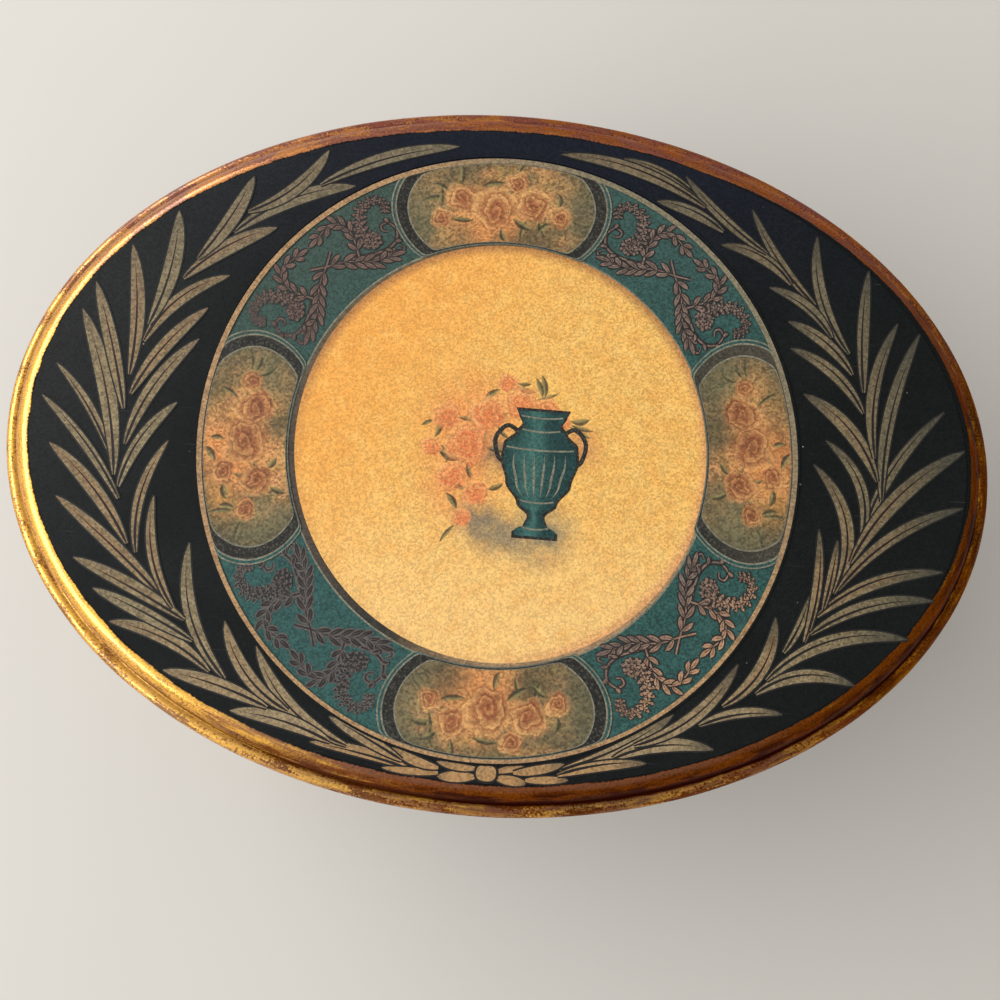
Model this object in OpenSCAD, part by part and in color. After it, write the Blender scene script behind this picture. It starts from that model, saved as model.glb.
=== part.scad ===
// Oval wooden jewelry box: a hinged lid and a base board with the same moulded gilt edge,
// an upright oval wall between them, velvet lined compartments and an oval mirror in the lid.
// Millimetres. The origin is the middle of the underside, +X runs along the length,
// +Y points to the hinged back and +Z points up.

/* [Overall] */
// Length of the lid over its moulded edge
lid_length = 254; // [230:1:290]
// Width of the lid over its moulded edge
lid_width = 185; // [165:1:215]
// Height of the side wall between the base board and the lid
wall_height = 62; // [50:1:90]

/* [Moulded edge] */
// Thickness of the lid board and of the base board
board_thickness = 12; // [10.5:0.5:16]
// Width in plan of the rounded upper member
ovolo_width = 4.6; // [3.5:0.1:6]
// Drop of the rounded upper member
ovolo_drop = 4.6; // [3.5:0.1:5]
// Height of the upright quirk below the rounded member
quirk_height = 1.2; // [0.6:0.1:1.6]
// Width of the flat fillet between the quirk and the bead
fillet_width = 0.5; // [0.3:0.1:1]
// Radius of the bead along the outer edge
bead_radius = 2; // [1.5:0.1:2.3]
// Rise of the bead's crown above the fillet
bead_rise = 0.5; // [0.2:0.1:1]
// Setback of the underside behind the nose of the bead
underside_setback = 3.5; // [2.5:0.1:5]

/* [Side wall] */
// Setback of the wall behind the nose of the mouldings
wall_setback = 11; // [10:0.5:14]
// Thickness of the wooden wall
wall_thickness = 8; // [7:0.5:10]

/* [Coverings] */
// Thickness of the paper print on the lid
print_thickness = 0.3; // [0.2:0.05:0.6]
// Thickness of the felt under the base
felt_thickness = 1; // [0.6:0.1:2]
// Setback of the felt from the edge of the underside
felt_setback = 4; // [2:0.5:8]
// Thickness of the velvet covered lining cards
lining_thickness = 1.5; // [1:0.1:2.5]
// Drop of the wall lining below the rim of the wall
lining_drop = 2; // [1.2:0.1:4]

/* [Compartments] */
// Distance of each divider from the middle of the box
divider_offset = 40; // [30:1:48]
// Thickness of a divider
divider_thickness = 3; // [2:0.5:5]
// Height of a divider above the floor lining
divider_height = 32; // [25:1:38]
// Thickness of the end cushions at their crown
cushion_thickness = 6; // [4:0.5:10]
// Width of the rounded border of a cushion's crown
cushion_border = 9; // [5:0.5:12]
// Diameter of a ring roll
roll_diameter = 15.6; // [12:0.2:18]
// Radius of the rounded ends of a ring roll
roll_end_radius = 4; // [2:0.5:5.5]

/* [Mirror] */
// Width of the velvet border round the mirror
mirror_border = 24; // [18:0.5:32]
// Thickness of the mirror glass
mirror_thickness = 2.5; // [2:0.1:4]
// Lap of the mirror frame over the glass
frame_lap = 2; // [1:0.1:3]
// Width of the mirror frame in plan
frame_width = 5; // [4:0.1:7]
// Height of the mirror frame below the glass
frame_height = 2.2; // [1.5:0.1:3]

/* [Hinges] */
// Distance between the middles of the two hinges
hinge_spacing = 48; // [40:1:60]
// Length of a hinge leaf
leaf_length = 20; // [16:0.5:24]
// Width of a hinge leaf in front of its knuckles
leaf_width = 6.7; // [6.2:0.1:7.5]
// Thickness of a hinge leaf
leaf_thickness = 1; // [0.8:0.1:1.2]
// Outer diameter of the hinge knuckles
knuckle_diameter = 3.2; // [3:0.1:3.6]
// Length of the middle knuckle, which belongs to the lid leaf
middle_knuckle = 6.6; // [5:0.1:8]
// Diameter of the hinge pin
pin_diameter = 1.6; // [1.2:0.1:1.8]

/* [Screws] */
// Diameter of the hinge screws
hinge_screw_diameter = 1.8; // [1.4:0.1:2.2]
// Length of the hinge screws
hinge_screw_length = 8; // [6:0.5:9]
// Distance between the two screws of a leaf
hinge_screw_pitch = 10; // [8:0.5:12]
// Distance of the hinge screws from the front edge of a leaf
hinge_screw_edge = 2.4; // [2.3:0.1:3]
// Diameter of the base screws
base_screw_diameter = 3; // [2.5:0.1:3.5]
// Depth of the base screws in the wall
base_screw_bite = 12; // [8:0.5:20]
// Number of base screws
base_screw_count = 6; // [4:1:8]

/* [Clearances] */
// Gap between pieces that are laid against each other
fit_gap = 0.2; // [0.1:0.05:0.4]
// Radial clearance of a hinge pin in the knuckles of the lid leaf
pin_clearance = 0.04; // [0.02:0.01:0.08]
// Gap between neighbouring knuckles and round them
knuckle_gap = 0.3; // [0.2:0.05:0.5]
// Gap between the lid lining and the wall lining
swing_gap = 2; // [1.5:0.1:4]

/* [Hidden] */
$fn = 96;
oval_steps = 96;
ovolo_steps = 6;
bead_steps = 8;
frame_steps = 72;
hull_fn = 40;
skin = 0.05;
past = 1;

gilt = "goldenrod";
lacquer = "#1b1e20";
velvet = "#5a1420";
brass = "#c9a449";

// Heights of the joints between the stacked pieces
base_z = felt_thickness;
wall_z = base_z + board_thickness;
lid_z = wall_z + wall_height;
lid_top_z = lid_z + board_thickness;
floor_z = wall_z + lining_thickness;

// Moulded edge, measured inwards from the nose of the bead and down from the board's top
bead_start = asin((bead_radius - bead_rise) / bead_radius);
bead_width = bead_radius * (1 + cos(bead_start));
edge_width = ovolo_width + fillet_width + bead_width;
fillet_depth = ovolo_drop + quirk_height;
bead_depth = fillet_depth - bead_rise + bead_radius;

// Insets from the lid's outline
wall_inner = wall_setback + wall_thickness;
lining_inner = wall_inner + lining_thickness;
lid_lining_inset = lining_inner + swing_gap;
mirror_inset = lid_lining_inset + mirror_border;

// Hinge line: the knuckles stand clear of the back of the wall
hinge_x = hinge_spacing / 2;
knuckle_radius = knuckle_diameter / 2;
pin_radius = pin_diameter / 2;
hinge_y = oval_y(hinge_x - leaf_length / 2, wall_setback) + knuckle_radius + knuckle_gap;
leaf_front_y = hinge_y - knuckle_radius - knuckle_gap;
leaf_back_y = leaf_front_y - leaf_width;
hinge_screw_y = leaf_back_y + hinge_screw_edge;

// Ring rolls fill the room between the dividers
roll_pitch = roll_diameter + 2 * fit_gap;
roll_length = 2 * divider_offset - divider_thickness - 4 * fit_gap;
roll_room = 2 * oval_y(divider_offset, lining_inner + fit_gap);
roll_count = floor(roll_room / roll_pitch);
roll_flat = 0.8;

// Half width of the oval at a distance x from the middle, inset from the lid's outline
function oval_y(x, inset) =
    (lid_width / 2 - inset) * sqrt(1 - pow(x / (lid_length / 2 - inset), 2));

// Point of the oval at an angle, inset from the lid's outline
function oval_point(angle, inset) =
    [(lid_length / 2 - inset) * cos(angle), (lid_width / 2 - inset) * sin(angle)];

// Section of the moulded edge as [inset, height] pairs, from the top of the board to its underside
function edge_section() = concat(
    [for (i = [0 : ovolo_steps]) let (turn = 90 * i / ovolo_steps)
        [edge_width - ovolo_width * sin(turn), board_thickness - ovolo_drop * (1 - cos(turn))]],
    [[edge_width - ovolo_width, board_thickness - fillet_depth]],
    [for (i = [0 : bead_steps]) let (turn = bead_start + (270 - bead_start) * i / bead_steps)
        [bead_radius * (1 + cos(turn)), board_thickness - bead_depth + bead_radius * sin(turn)]],
    [[underside_setback, board_thickness - bead_depth - bead_radius], [underside_setback, 0]]
);

// Section of the mirror frame as [inset, height] pairs round a closed loop, the glass face at height 0
function frame_section() = let (
    outer = mirror_inset - frame_width + frame_lap,
    inner = mirror_inset + frame_lap,
    step = mirror_thickness - lining_thickness
) [
    [inner, -skin], [inner, -0.45 * frame_height], [inner - 0.2 * frame_width, -0.85 * frame_height],
    [inner - 0.5 * frame_width, -frame_height], [outer + 0.2 * frame_width, -0.8 * frame_height],
    [outer, -0.3 * frame_height], [outer, step - skin],
    [mirror_inset - fit_gap, step - skin], [mirror_inset - fit_gap, -skin]
];

// Oval drawn as four mirrored quarters, inset from the lid's outline
module oval(inset) {
    for (left = [0, 1], back = [0, 1]) mirror([left, 0]) mirror([0, back]) intersection() {
        scale([lid_length / 2 - inset, lid_width / 2 - inset]) circle(r = 1);
        square([lid_length, lid_width]);
    }
}

// Flat oval plate
module oval_plate(inset, thickness) {
    linear_extrude(thickness) oval(inset);
}

// Upright oval band
module oval_band(outer, inner, height) {
    linear_extrude(height) difference() {
        oval(outer);
        oval(inner);
    }
}

// Board whose edge follows an open section all round the oval
module oval_board(section) {
    n = len(section);
    points = [for (i = [0 : oval_steps - 1], p = section)
        let (q = oval_point(360 * i / oval_steps, p[0])) [q.x, q.y, p[1]]];
    sides = [for (i = [0 : oval_steps - 1], j = [0 : n - 2])
        let (a = i * n + j, b = (i + 1) % oval_steps * n + j)
            each [[a, b, b + 1], [a, b + 1, a + 1]]];
    top = [for (i = [oval_steps - 1 : -1 : 0]) i * n];
    underside = [for (i = [0 : oval_steps - 1]) i * n + n - 1];
    polyhedron(points, concat(sides, [top, underside]));
}

// Ring whose closed section is carried round the oval
module oval_ring(section) {
    n = len(section);
    points = [for (i = [0 : frame_steps - 1], p = section)
        let (q = oval_point(360 * i / frame_steps, p[0])) [q.x, q.y, p[1]]];
    sides = [for (i = [0 : frame_steps - 1], j = [0 : n - 1])
        let (a = i * n + j, b = (i + 1) % frame_steps * n + j,
             c = i * n + (j + 1) % n, d = (i + 1) % frame_steps * n + (j + 1) % n)
            each [[a, d, b], [a, c, d]]];
    polyhedron(points, sides);
}

// Countersunk screw with its head flush at z = 0 and its point down
module screw(diameter, length, slot = true) {
    head = diameter;
    shank = diameter / 2;
    difference() {
        rotate_extrude() polygon([
            [0, 0], [head, 0], [shank, -shank], [shank, -length + diameter], [0, -length]
        ]);
        if (slot) translate([-head, -diameter / 8, -diameter / 4])
            cube([2 * head, diameter / 4, diameter]);
    }
}

// Room for a countersunk screw, with a skin of clearance all over
module screw_room(diameter, length) {
    translate([0, 0, past]) rotate_extrude() polygon([
        [0, 0], [diameter + skin, 0], [diameter + skin, -past], [diameter / 2 + skin, -past - diameter / 2],
        [diameter / 2 + skin, -past - length - skin], [0, -past - length - skin]
    ]);
}

module at_hinges() {
    for (side = [-1, 1]) translate([side * hinge_x, 0, 0]) children();
}

module at_hinge_screws() {
    at_hinges() for (side = [-1, 1])
        translate([side * hinge_screw_pitch / 2, hinge_screw_y, lid_z]) children();
}

module at_base_screws() {
    for (i = [0 : base_screw_count - 1])
        let (p = oval_point(360 * (i + 0.5) / base_screw_count, wall_setback + wall_thickness / 2))
            translate([p.x, p.y, base_z]) mirror([0, 0, 1]) children();
}

// Cylinder along the hinge line, centred on a hinge
module along_hinge(radius, length) {
    translate([0, hinge_y, lid_z]) rotate([0, 90, 0]) cylinder(r = radius, h = length, center = true);
}

// Shallow seat for a leaf, below or above the joint between wall and lid
module leaf_seat(z) {
    translate([-leaf_length / 2 - fit_gap, leaf_back_y - fit_gap, z])
        cube([leaf_length + 2 * fit_gap, leaf_width + 2 * fit_gap + knuckle_diameter, leaf_thickness]);
}

// Plate of a leaf with tabs that run under its own knuckles
module leaf_plate(z, tabs) {
    difference() {
        union() {
            translate([-leaf_length / 2, leaf_back_y, z]) cube([leaf_length, leaf_width, leaf_thickness]);
            for (tab = tabs) translate([tab[0], leaf_back_y, z])
                cube([tab[1] - tab[0], hinge_y - leaf_back_y, leaf_thickness]);
        }
        for (side = [-1, 1]) translate([side * hinge_screw_pitch / 2, hinge_screw_y, lid_z])
            mirror([0, 0, z < lid_z ? 0 : 1]) screw_room(hinge_screw_diameter, hinge_screw_length);
    }
}

outer_from = middle_knuckle / 2 + knuckle_gap;
outer_tabs = [[-leaf_length / 2, -outer_from], [outer_from, leaf_length / 2]];
middle_tabs = [[-middle_knuckle / 2, middle_knuckle / 2]];

// Knuckles over the tabs of a leaf, bored for the pin
module leaf(z, tabs, bore) {
    difference() {
        union() {
            leaf_plate(z, tabs);
            for (tab = tabs) translate([(tab[0] + tab[1]) / 2, 0, 0])
                along_hinge(knuckle_radius, tab[1] - tab[0]);
        }
        along_hinge(bore, leaf_length + 2 * past);
    }
}

// Outline of an end compartment on the +X side, drawn in by an inset
module compartment(inset) {
    from = divider_offset + divider_thickness / 2 + fit_gap + inset;
    intersection() {
        oval(lining_inner + fit_gap + inset);
        translate([from, -lid_width / 2]) square([lid_length, lid_width]);
    }
}

module base_felt() {
    color("darkolivegreen") oval_plate(underside_setback + felt_setback, felt_thickness);
}

module base_board() {
    color(gilt) difference() {
        translate([0, 0, base_z]) oval_board(edge_section());
        at_base_screws() screw_room(base_screw_diameter, board_thickness + base_screw_bite);
    }
}

module base_screws() {
    color("silver") at_base_screws() screw(base_screw_diameter, board_thickness + base_screw_bite);
}

module box_wall() {
    color(lacquer) difference() {
        translate([0, 0, wall_z]) oval_band(wall_setback, wall_inner, wall_height);
        at_hinges() leaf_seat(lid_z - leaf_thickness);
        at_hinge_screws() screw_room(hinge_screw_diameter, hinge_screw_length);
        at_base_screws() screw_room(base_screw_diameter, board_thickness + base_screw_bite);
    }
}

module wall_lining() {
    color(velvet) translate([0, 0, wall_z])
        oval_band(wall_inner, lining_inner, wall_height - lining_drop);
}

module floor_lining() {
    color(velvet) translate([0, 0, wall_z]) oval_plate(lining_inner + fit_gap, lining_thickness);
}

// Divider card across the box, rounded along its top edge
module divider(side) {
    top = divider_height - divider_thickness / 2;
    color(velvet) translate([0, 0, floor_z]) intersection() {
        oval_plate(lining_inner + fit_gap, divider_height);
        translate([side * divider_offset, lid_width / 2, 0]) rotate([90, 0, 0]) linear_extrude(lid_width) {
            translate([-divider_thickness / 2, 0]) square([divider_thickness, top]);
            translate([0, top]) circle(d = divider_thickness);
        }
    }
}

// Cushion of an end compartment: drawn in at the floor, full at the middle, crowned on top
module cushion() {
    color(velvet) translate([0, 0, floor_z]) hull($fn = hull_fn) {
        linear_extrude(skin, $fn = hull_fn) compartment(1.5);
        translate([0, 0, 0.4 * cushion_thickness]) linear_extrude(skin, $fn = hull_fn) compartment(0);
        translate([0, 0, 0.8 * cushion_thickness]) linear_extrude(skin, $fn = hull_fn) compartment(0.3 * cushion_border);
        translate([0, 0, cushion_thickness - skin]) linear_extrude(skin, $fn = hull_fn) compartment(cushion_border);
    }
}

// Stuffed roll along X with rounded ends, resting on a flat
module ring_roll() {
    radius = roll_diameter / 2;
    straight = roll_length / 2 - roll_end_radius;
    intersection() {
        translate([0, 0, radius - roll_flat]) rotate([0, 90, 0]) rotate_extrude() {
            translate([0, -roll_length / 2]) square([radius - roll_end_radius, roll_length]);
            translate([0, -straight]) square([radius, 2 * straight]);
            for (end = [-1, 1]) translate([radius - roll_end_radius, end * straight]) intersection() {
                circle(r = roll_end_radius);
                translate([0, end > 0 ? 0 : -roll_end_radius]) square(roll_end_radius);
            }
        }
        translate([-roll_length, -roll_diameter, 0]) cube(2 * [roll_length, roll_diameter, roll_diameter]);
    }
}

module ring_rolls() {
    color(velvet) for (i = [0 : roll_count - 1])
        translate([0, (i - (roll_count - 1) / 2) * roll_pitch, floor_z]) ring_roll();
}

module hinge_base_leaf(side) {
    color(brass) translate([side * hinge_x, 0, 0]) leaf(lid_z - leaf_thickness, outer_tabs, pin_radius);
}

module hinge_lid_leaf(side) {
    color(brass) translate([side * hinge_x, 0, 0]) leaf(lid_z, middle_tabs, pin_radius + pin_clearance);
}

module hinge_pin(side) {
    color(brass) translate([side * hinge_x, 0, 0]) along_hinge(pin_radius, leaf_length);
}

module hinge_base_screws() {
    color(brass) at_hinge_screws() screw(hinge_screw_diameter, hinge_screw_length);
}

module hinge_lid_screws() {
    color(brass) at_hinge_screws() mirror([0, 0, 1]) screw(hinge_screw_diameter, hinge_screw_length);
}

module lid_board() {
    color(gilt) difference() {
        translate([0, 0, lid_z]) oval_board(edge_section());
        at_hinges() {
            translate([0, 0, lid_z]) leaf_seat(0);
            along_hinge(knuckle_radius + knuckle_gap, leaf_length + 2 * fit_gap);
        }
        at_hinge_screws() mirror([0, 0, 1]) screw_room(hinge_screw_diameter, hinge_screw_length);
    }
}

module lid_print() {
    color("black") translate([0, 0, lid_top_z]) oval_plate(edge_width, print_thickness);
}

module lid_lining() {
    color(velvet) translate([0, 0, lid_z - lining_thickness])
        oval_band(lid_lining_inset, mirror_inset - fit_gap, lining_thickness);
}

module mirror_glass() {
    color("lightsteelblue") translate([0, 0, lid_z - mirror_thickness]) oval_plate(mirror_inset, mirror_thickness);
}

module mirror_frame() {
    color(gilt) translate([0, 0, lid_z - mirror_thickness]) oval_ring(frame_section());
}

base_felt();
base_board();
base_screws();
box_wall();
wall_lining();
floor_lining();
divider(-1);  // divider_left
divider(1);  // divider_right
mirror([1, 0, 0]) cushion();  // cushion_left
cushion();  // cushion_right
ring_rolls();
hinge_base_leaf(-1);  // hinge_base_leaf_left
hinge_base_leaf(1);  // hinge_base_leaf_right
hinge_pin(-1);  // hinge_pin_left
hinge_pin(1);  // hinge_pin_right
hinge_base_screws();
lid_board();
lid_print();
hinge_lid_leaf(-1);  // hinge_lid_leaf_left
hinge_lid_leaf(1);  // hinge_lid_leaf_right
hinge_lid_screws();
lid_lining();
mirror_glass();
mirror_frame();
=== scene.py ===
import itertools
import math
import random

import bmesh
import bpy
from mathutils import Matrix, Vector, noise


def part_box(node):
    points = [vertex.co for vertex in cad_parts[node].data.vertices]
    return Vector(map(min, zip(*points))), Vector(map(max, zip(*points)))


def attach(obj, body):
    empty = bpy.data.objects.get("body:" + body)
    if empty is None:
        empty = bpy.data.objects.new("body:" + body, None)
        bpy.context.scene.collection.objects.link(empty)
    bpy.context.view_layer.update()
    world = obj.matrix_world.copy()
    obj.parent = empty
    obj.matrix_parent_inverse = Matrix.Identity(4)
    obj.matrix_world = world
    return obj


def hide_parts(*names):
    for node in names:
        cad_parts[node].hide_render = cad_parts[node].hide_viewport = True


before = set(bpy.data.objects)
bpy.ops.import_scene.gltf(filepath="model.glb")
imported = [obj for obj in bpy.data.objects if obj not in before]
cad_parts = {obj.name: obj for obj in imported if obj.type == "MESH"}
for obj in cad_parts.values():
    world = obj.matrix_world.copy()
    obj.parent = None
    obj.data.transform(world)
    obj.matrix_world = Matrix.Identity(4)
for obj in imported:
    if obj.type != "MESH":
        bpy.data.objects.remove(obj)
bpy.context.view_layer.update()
mm = 0.001


# Colours are written as they look on a screen, from 0 to 255
def colour(tone):
    parts = [value / 255 for value in tone]
    return (*(p / 12.92 if p <= 0.04045 else ((p + 0.055) / 1.055) ** 2.4 for p in parts), 1)


# A value in a shader: sums and products of values become nodes
class Value:
    def __init__(self, socket):
        self.socket = socket

    def __add__(self, other):
        return maths("ADD", self, other)

    def __sub__(self, other):
        return maths("SUBTRACT", self, other)

    def __rsub__(self, other):
        return maths("SUBTRACT", other, self)

    def __mul__(self, other):
        return maths("MULTIPLY", self, other)

    def __truediv__(self, other):
        return maths("DIVIDE", self, other)

    def __rtruediv__(self, other):
        return maths("DIVIDE", other, self)


# Nodes are added to the tree that is being built
work = dict(tree=None)


def setInput(socket, value):
    if isinstance(value, Value):
        work["tree"].links.new(value.socket, socket)
    else:
        socket.default_value = value


def wire(sockets, values):
    for name, value in values.items():
        setInput(sockets[name], value)


def addNode(kind, inputs=None, **attributes):
    node = work["tree"].nodes.new("ShaderNode" + kind)
    for name, value in attributes.items():
        setattr(node, name, value)
    wire(node.inputs, inputs or {})
    return node


def added(kind, output, inputs=None, **attributes):
    return Value(addNode(kind, inputs, **attributes).outputs[output])


def outputsOf(node):
    return {socket.name: Value(socket) for socket in node.outputs}


def maths(operation, first, second=0.0):
    return added("Math", 0, {0: first, 1: second}, operation=operation)


# Keeps the last sum between 0 and 1
def held(value):
    value.socket.node.use_clamp = True
    return value


def vectorMaths(operation, *values):
    output = "Value" if operation in ("LENGTH", "DISTANCE", "DOT_PRODUCT") else "Vector"
    return added("VectorMath", output, dict(enumerate(values)), operation=operation)


def mixColour(factor, first, second, blend="MIX"):
    return added("Mix", 2, {0: factor, 6: first, 7: second}, data_type="RGBA", blend_type=blend)


def fade(value, low, high, lowTo=0.0, highTo=1.0):
    limits = {"Value": value, "From Min": low, "From Max": high, "To Min": lowTo, "To Max": highTo}
    return added("MapRange", 0, limits, interpolation_type="SMOOTHSTEP")


def fadeAlong(place, way, *limits):
    return fade(vectorMaths("DOT_PRODUCT", place, (*way, 0)), *limits)


def objectPlace():
    return added("TexCoord", "Object")


def attribute(name):
    return added("Attribute", "Fac", attribute_name=name)


def axes(vector):
    return [Value(socket) for socket in addNode("SeparateXYZ", {"Vector": vector}).outputs]


def speckle(vector, scale, detail=4.0, roughness=0.6):
    return added("TexNoise", 0, {"Vector": vector, "Scale": scale, "Detail": detail, "Roughness": roughness})


def stretched(vector, scale, turn=0.0):
    return added("Mapping", 0, {"Vector": vector, "Scale": scale, "Rotation": (0, 0, math.radians(turn))})


# Makes a node group of a function's name; the names of its inputs and outputs are listed by kind
def nodeGroup(inputs, outputs):
    def build(draw):
        tree = work["tree"] = bpy.data.node_groups.new(draw.__name__, "ShaderNodeTree")
        for way, kinds in (("INPUT", inputs), ("OUTPUT", outputs)):
            for kind, labels in kinds.items():
                for label in labels.split():
                    tree.interface.new_socket(name=label, in_out=way, socket_type="NodeSocket" + kind)
        given = outputsOf(tree.nodes.new("NodeGroupInput"))
        wire(tree.nodes.new("NodeGroupOutput").inputs, draw(given))
        return tree

    return build


def useGroup(group, **inputs):
    return outputsOf(addNode("Group", inputs, node_tree=group))


def newMaterial(name, constants):
    material = bpy.data.materials.new(name)
    material.use_nodes = True
    work["tree"] = material.node_tree
    sockets = material.node_tree.nodes["Principled BSDF"].inputs
    wire(sockets, constants)
    return material, sockets


def bump(sockets, height, strength, distance):
    relief = {"Height": height, "Strength": strength, "Distance": distance}
    setInput(sockets["Normal"], added("Bump", 0, relief))


print("stage: helpers ready")


# Camera at the photograph's angle, in millimetres, and the room
camera = dict(
    place=(0.58, -60.0, 354.67), aim=(1.26, -14.92, 87.3), lens=38.99, sensor=36, roll=4.366, nearest=5,
)
room = dict(
    floorColour=(226, 222, 215), floorCloud=0.97, keyPlace=(-1.15, 0.15, 0.85), keyAim=(0, 0, 0.06),
    keySize=(2.8, 0.6), keyPower=24.0, brightSide=0.85, darkSide=0.34, backDim=0.55, air=(1, 0.98, 0.95, 1),
)


def makeCamera():
    place, aim = Vector(camera["place"]) * mm, Vector(camera["aim"]) * mm
    forward = (aim - place).normalized()
    side = forward.cross(Vector((0, 1, 0))).normalized()
    above = side.cross(forward)
    roll = math.radians(camera["roll"])
    up = above * math.cos(roll) - side * math.sin(roll)
    right = forward.cross(up)
    data = bpy.data.cameras.new("photoCamera")
    data.lens, data.sensor_width, data.clip_start = camera["lens"], camera["sensor"], camera["nearest"] * mm
    made = addObject("photoCamera", data)
    made.matrix_world = Matrix.Translation(place) @ Matrix((right, up, -forward)).transposed().to_4x4()
    bpy.context.scene.camera = made


def makeFloor():
    bm = bmesh.new()
    bmesh.ops.create_grid(bm, x_segments=4, y_segments=4, size=4)
    floor = toObject("floor", bm)
    material, sockets = newMaterial("paleFloor", {"Roughness": 0.8, "Specular IOR Level": 0.15})
    pale = colour(room["floorColour"])
    dimmed = (*(part * room["floorCloud"] for part in pale[:3]), 1)
    setInput(sockets["Base Color"], mixColour(fade(speckle(objectPlace(), 3, 3), 0.3, 0.7), pale, dimmed))
    floor.data.materials.append(material)


def makeLight():
    light = bpy.data.lights.new("softWindow", "AREA")
    light.shape, light.energy = "RECTANGLE", room["keyPower"]
    light.size, light.size_y = room["keySize"]
    lamp = addObject("softWindow", light)
    lamp.location = room["keyPlace"]
    lamp.rotation_euler = (Vector(room["keyAim"]) - lamp.location).to_track_quat("-Z", "Y").to_euler()

    world = bpy.data.worlds.new("softRoom")
    bpy.context.scene.world = world
    world.use_nodes = True
    work["tree"] = world.node_tree
    world.node_tree.nodes.clear()
    heading = axes(added("TexCoord", "Generated"))
    level = fade(heading[0], -0.9, 0.9, room["brightSide"], room["darkSide"])
    level *= fade(heading[1], -0.3, 0.9, 1.0, room["backDim"])
    addNode("OutputWorld", {"Surface": added("Background", 0, {"Color": room["air"], "Strength": level})})
    bpy.context.scene.view_settings.view_transform = "Standard"


# From bmesh to finished pieces
def addObject(name, data):
    made = bpy.data.objects.new(name, data)
    bpy.context.collection.objects.link(made)
    return made


def toObject(name, bm, smooth=False):
    mesh = bpy.data.meshes.new(name)
    bm.to_mesh(mesh)
    bm.free()
    if smooth:
        mesh.shade_smooth()
    return addObject(name, mesh)


def toPiece(name, bm, material, body, smooth=False):
    piece = toObject(name, bm, smooth)
    piece.data.materials.append(material)
    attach(piece, body)
    return piece


def toMetres(bm):
    bmesh.ops.scale(bm, vec=(mm, mm, mm), verts=bm.verts)


# A flat printed shape: drawn in millimetres, laid on the print and given a little body downwards
sheet = dict(thickness=0.05, weld=0.006)


def toPrint(name, bm, material):
    bmesh.ops.remove_doubles(bm, verts=bm.verts, dist=sheet["weld"])
    for face in bm.faces:
        face.normal_update()
    bmesh.ops.reverse_faces(bm, faces=[face for face in bm.faces if face.normal.z < 0])
    toMetres(bm)
    bmesh.ops.translate(bm, vec=(0, 0, printTop), verts=bm.verts)
    piece = toPiece(name, bm, material, "lid")
    plate = piece.modifiers.new("plate", "SOLIDIFY")
    plate.thickness, plate.offset = sheet["thickness"] * mm, -1


def soften(piece):
    smooth = piece.modifiers.new("smooth", "SUBSURF")
    smooth.levels = smooth.render_levels = 1


boardLow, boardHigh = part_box("lid_board")
baseLow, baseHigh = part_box("base_board")
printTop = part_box("lid_print")[1].z

makeCamera()
makeFloor()
makeLight()
print("stage: camera and room ready")


# Effects shared by several materials
@nodeGroup(dict(Float="Scale"), dict(Float="Grain Soft"))
def grainCells(given):
    place = objectPlace()
    cells = added("TexVoronoi", "Color", {"Vector": place, "Scale": given["Scale"]})
    soft = speckle(place, given["Scale"], 3, 0.75)
    return {"Grain": axes(cells)[0] * 0.55 + soft * 0.45, "Soft": soft}


@nodeGroup(
    dict(Color="Ink Faded Speck", Float="Scale Cover Contrast"), dict(Color="Color", Float="Height Grain"),
)
def printGrain(given):
    coarse = speckle(objectPlace(), given["Scale"] * 0.14, 6, 0.65)
    fine = useGroup(grainCells, Scale=given["Scale"])
    body = mixColour(fade(coarse, 0.36, 0.66), given["Ink"], given["Faded"])
    body = mixColour(fade(fine["Soft"], 0.54, 0.68) * given["Cover"], body, given["Speck"])
    swing = (0.5 - fine["Grain"]) * given["Contrast"] + 1.0
    shade = mixColour(1.0, body, swing, "MULTIPLY")
    return {"Color": shade, "Height": fine["Soft"], "Grain": fine["Grain"]}


@nodeGroup(dict(Float="Density"), dict(Float="Dust Scratch Smear"))
def dustScratch(given):
    place = objectPlace()
    spread = {"Vector": place, "Scale": given["Density"] * 260.0, "Randomness": 1.0}
    dots = outputsOf(addNode("TexVoronoi", spread))
    pick = fade(axes(dots["Color"])[0], 0.72, 0.9)
    near = fade(dots["Distance"], 0.02, 0.07, 1.0, 0.0)
    lines = [fade(speckle(stretched(place, (35, 2600, 35), turn), 1, 2), 0.72, 0.78) for turn in (18, -52)]
    smear = fade(speckle(place, 45, 4), 0.4, 0.75)
    return {"Dust": pick * near, "Scratch": held(lines[0] + lines[1]), "Smear": smear}


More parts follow.
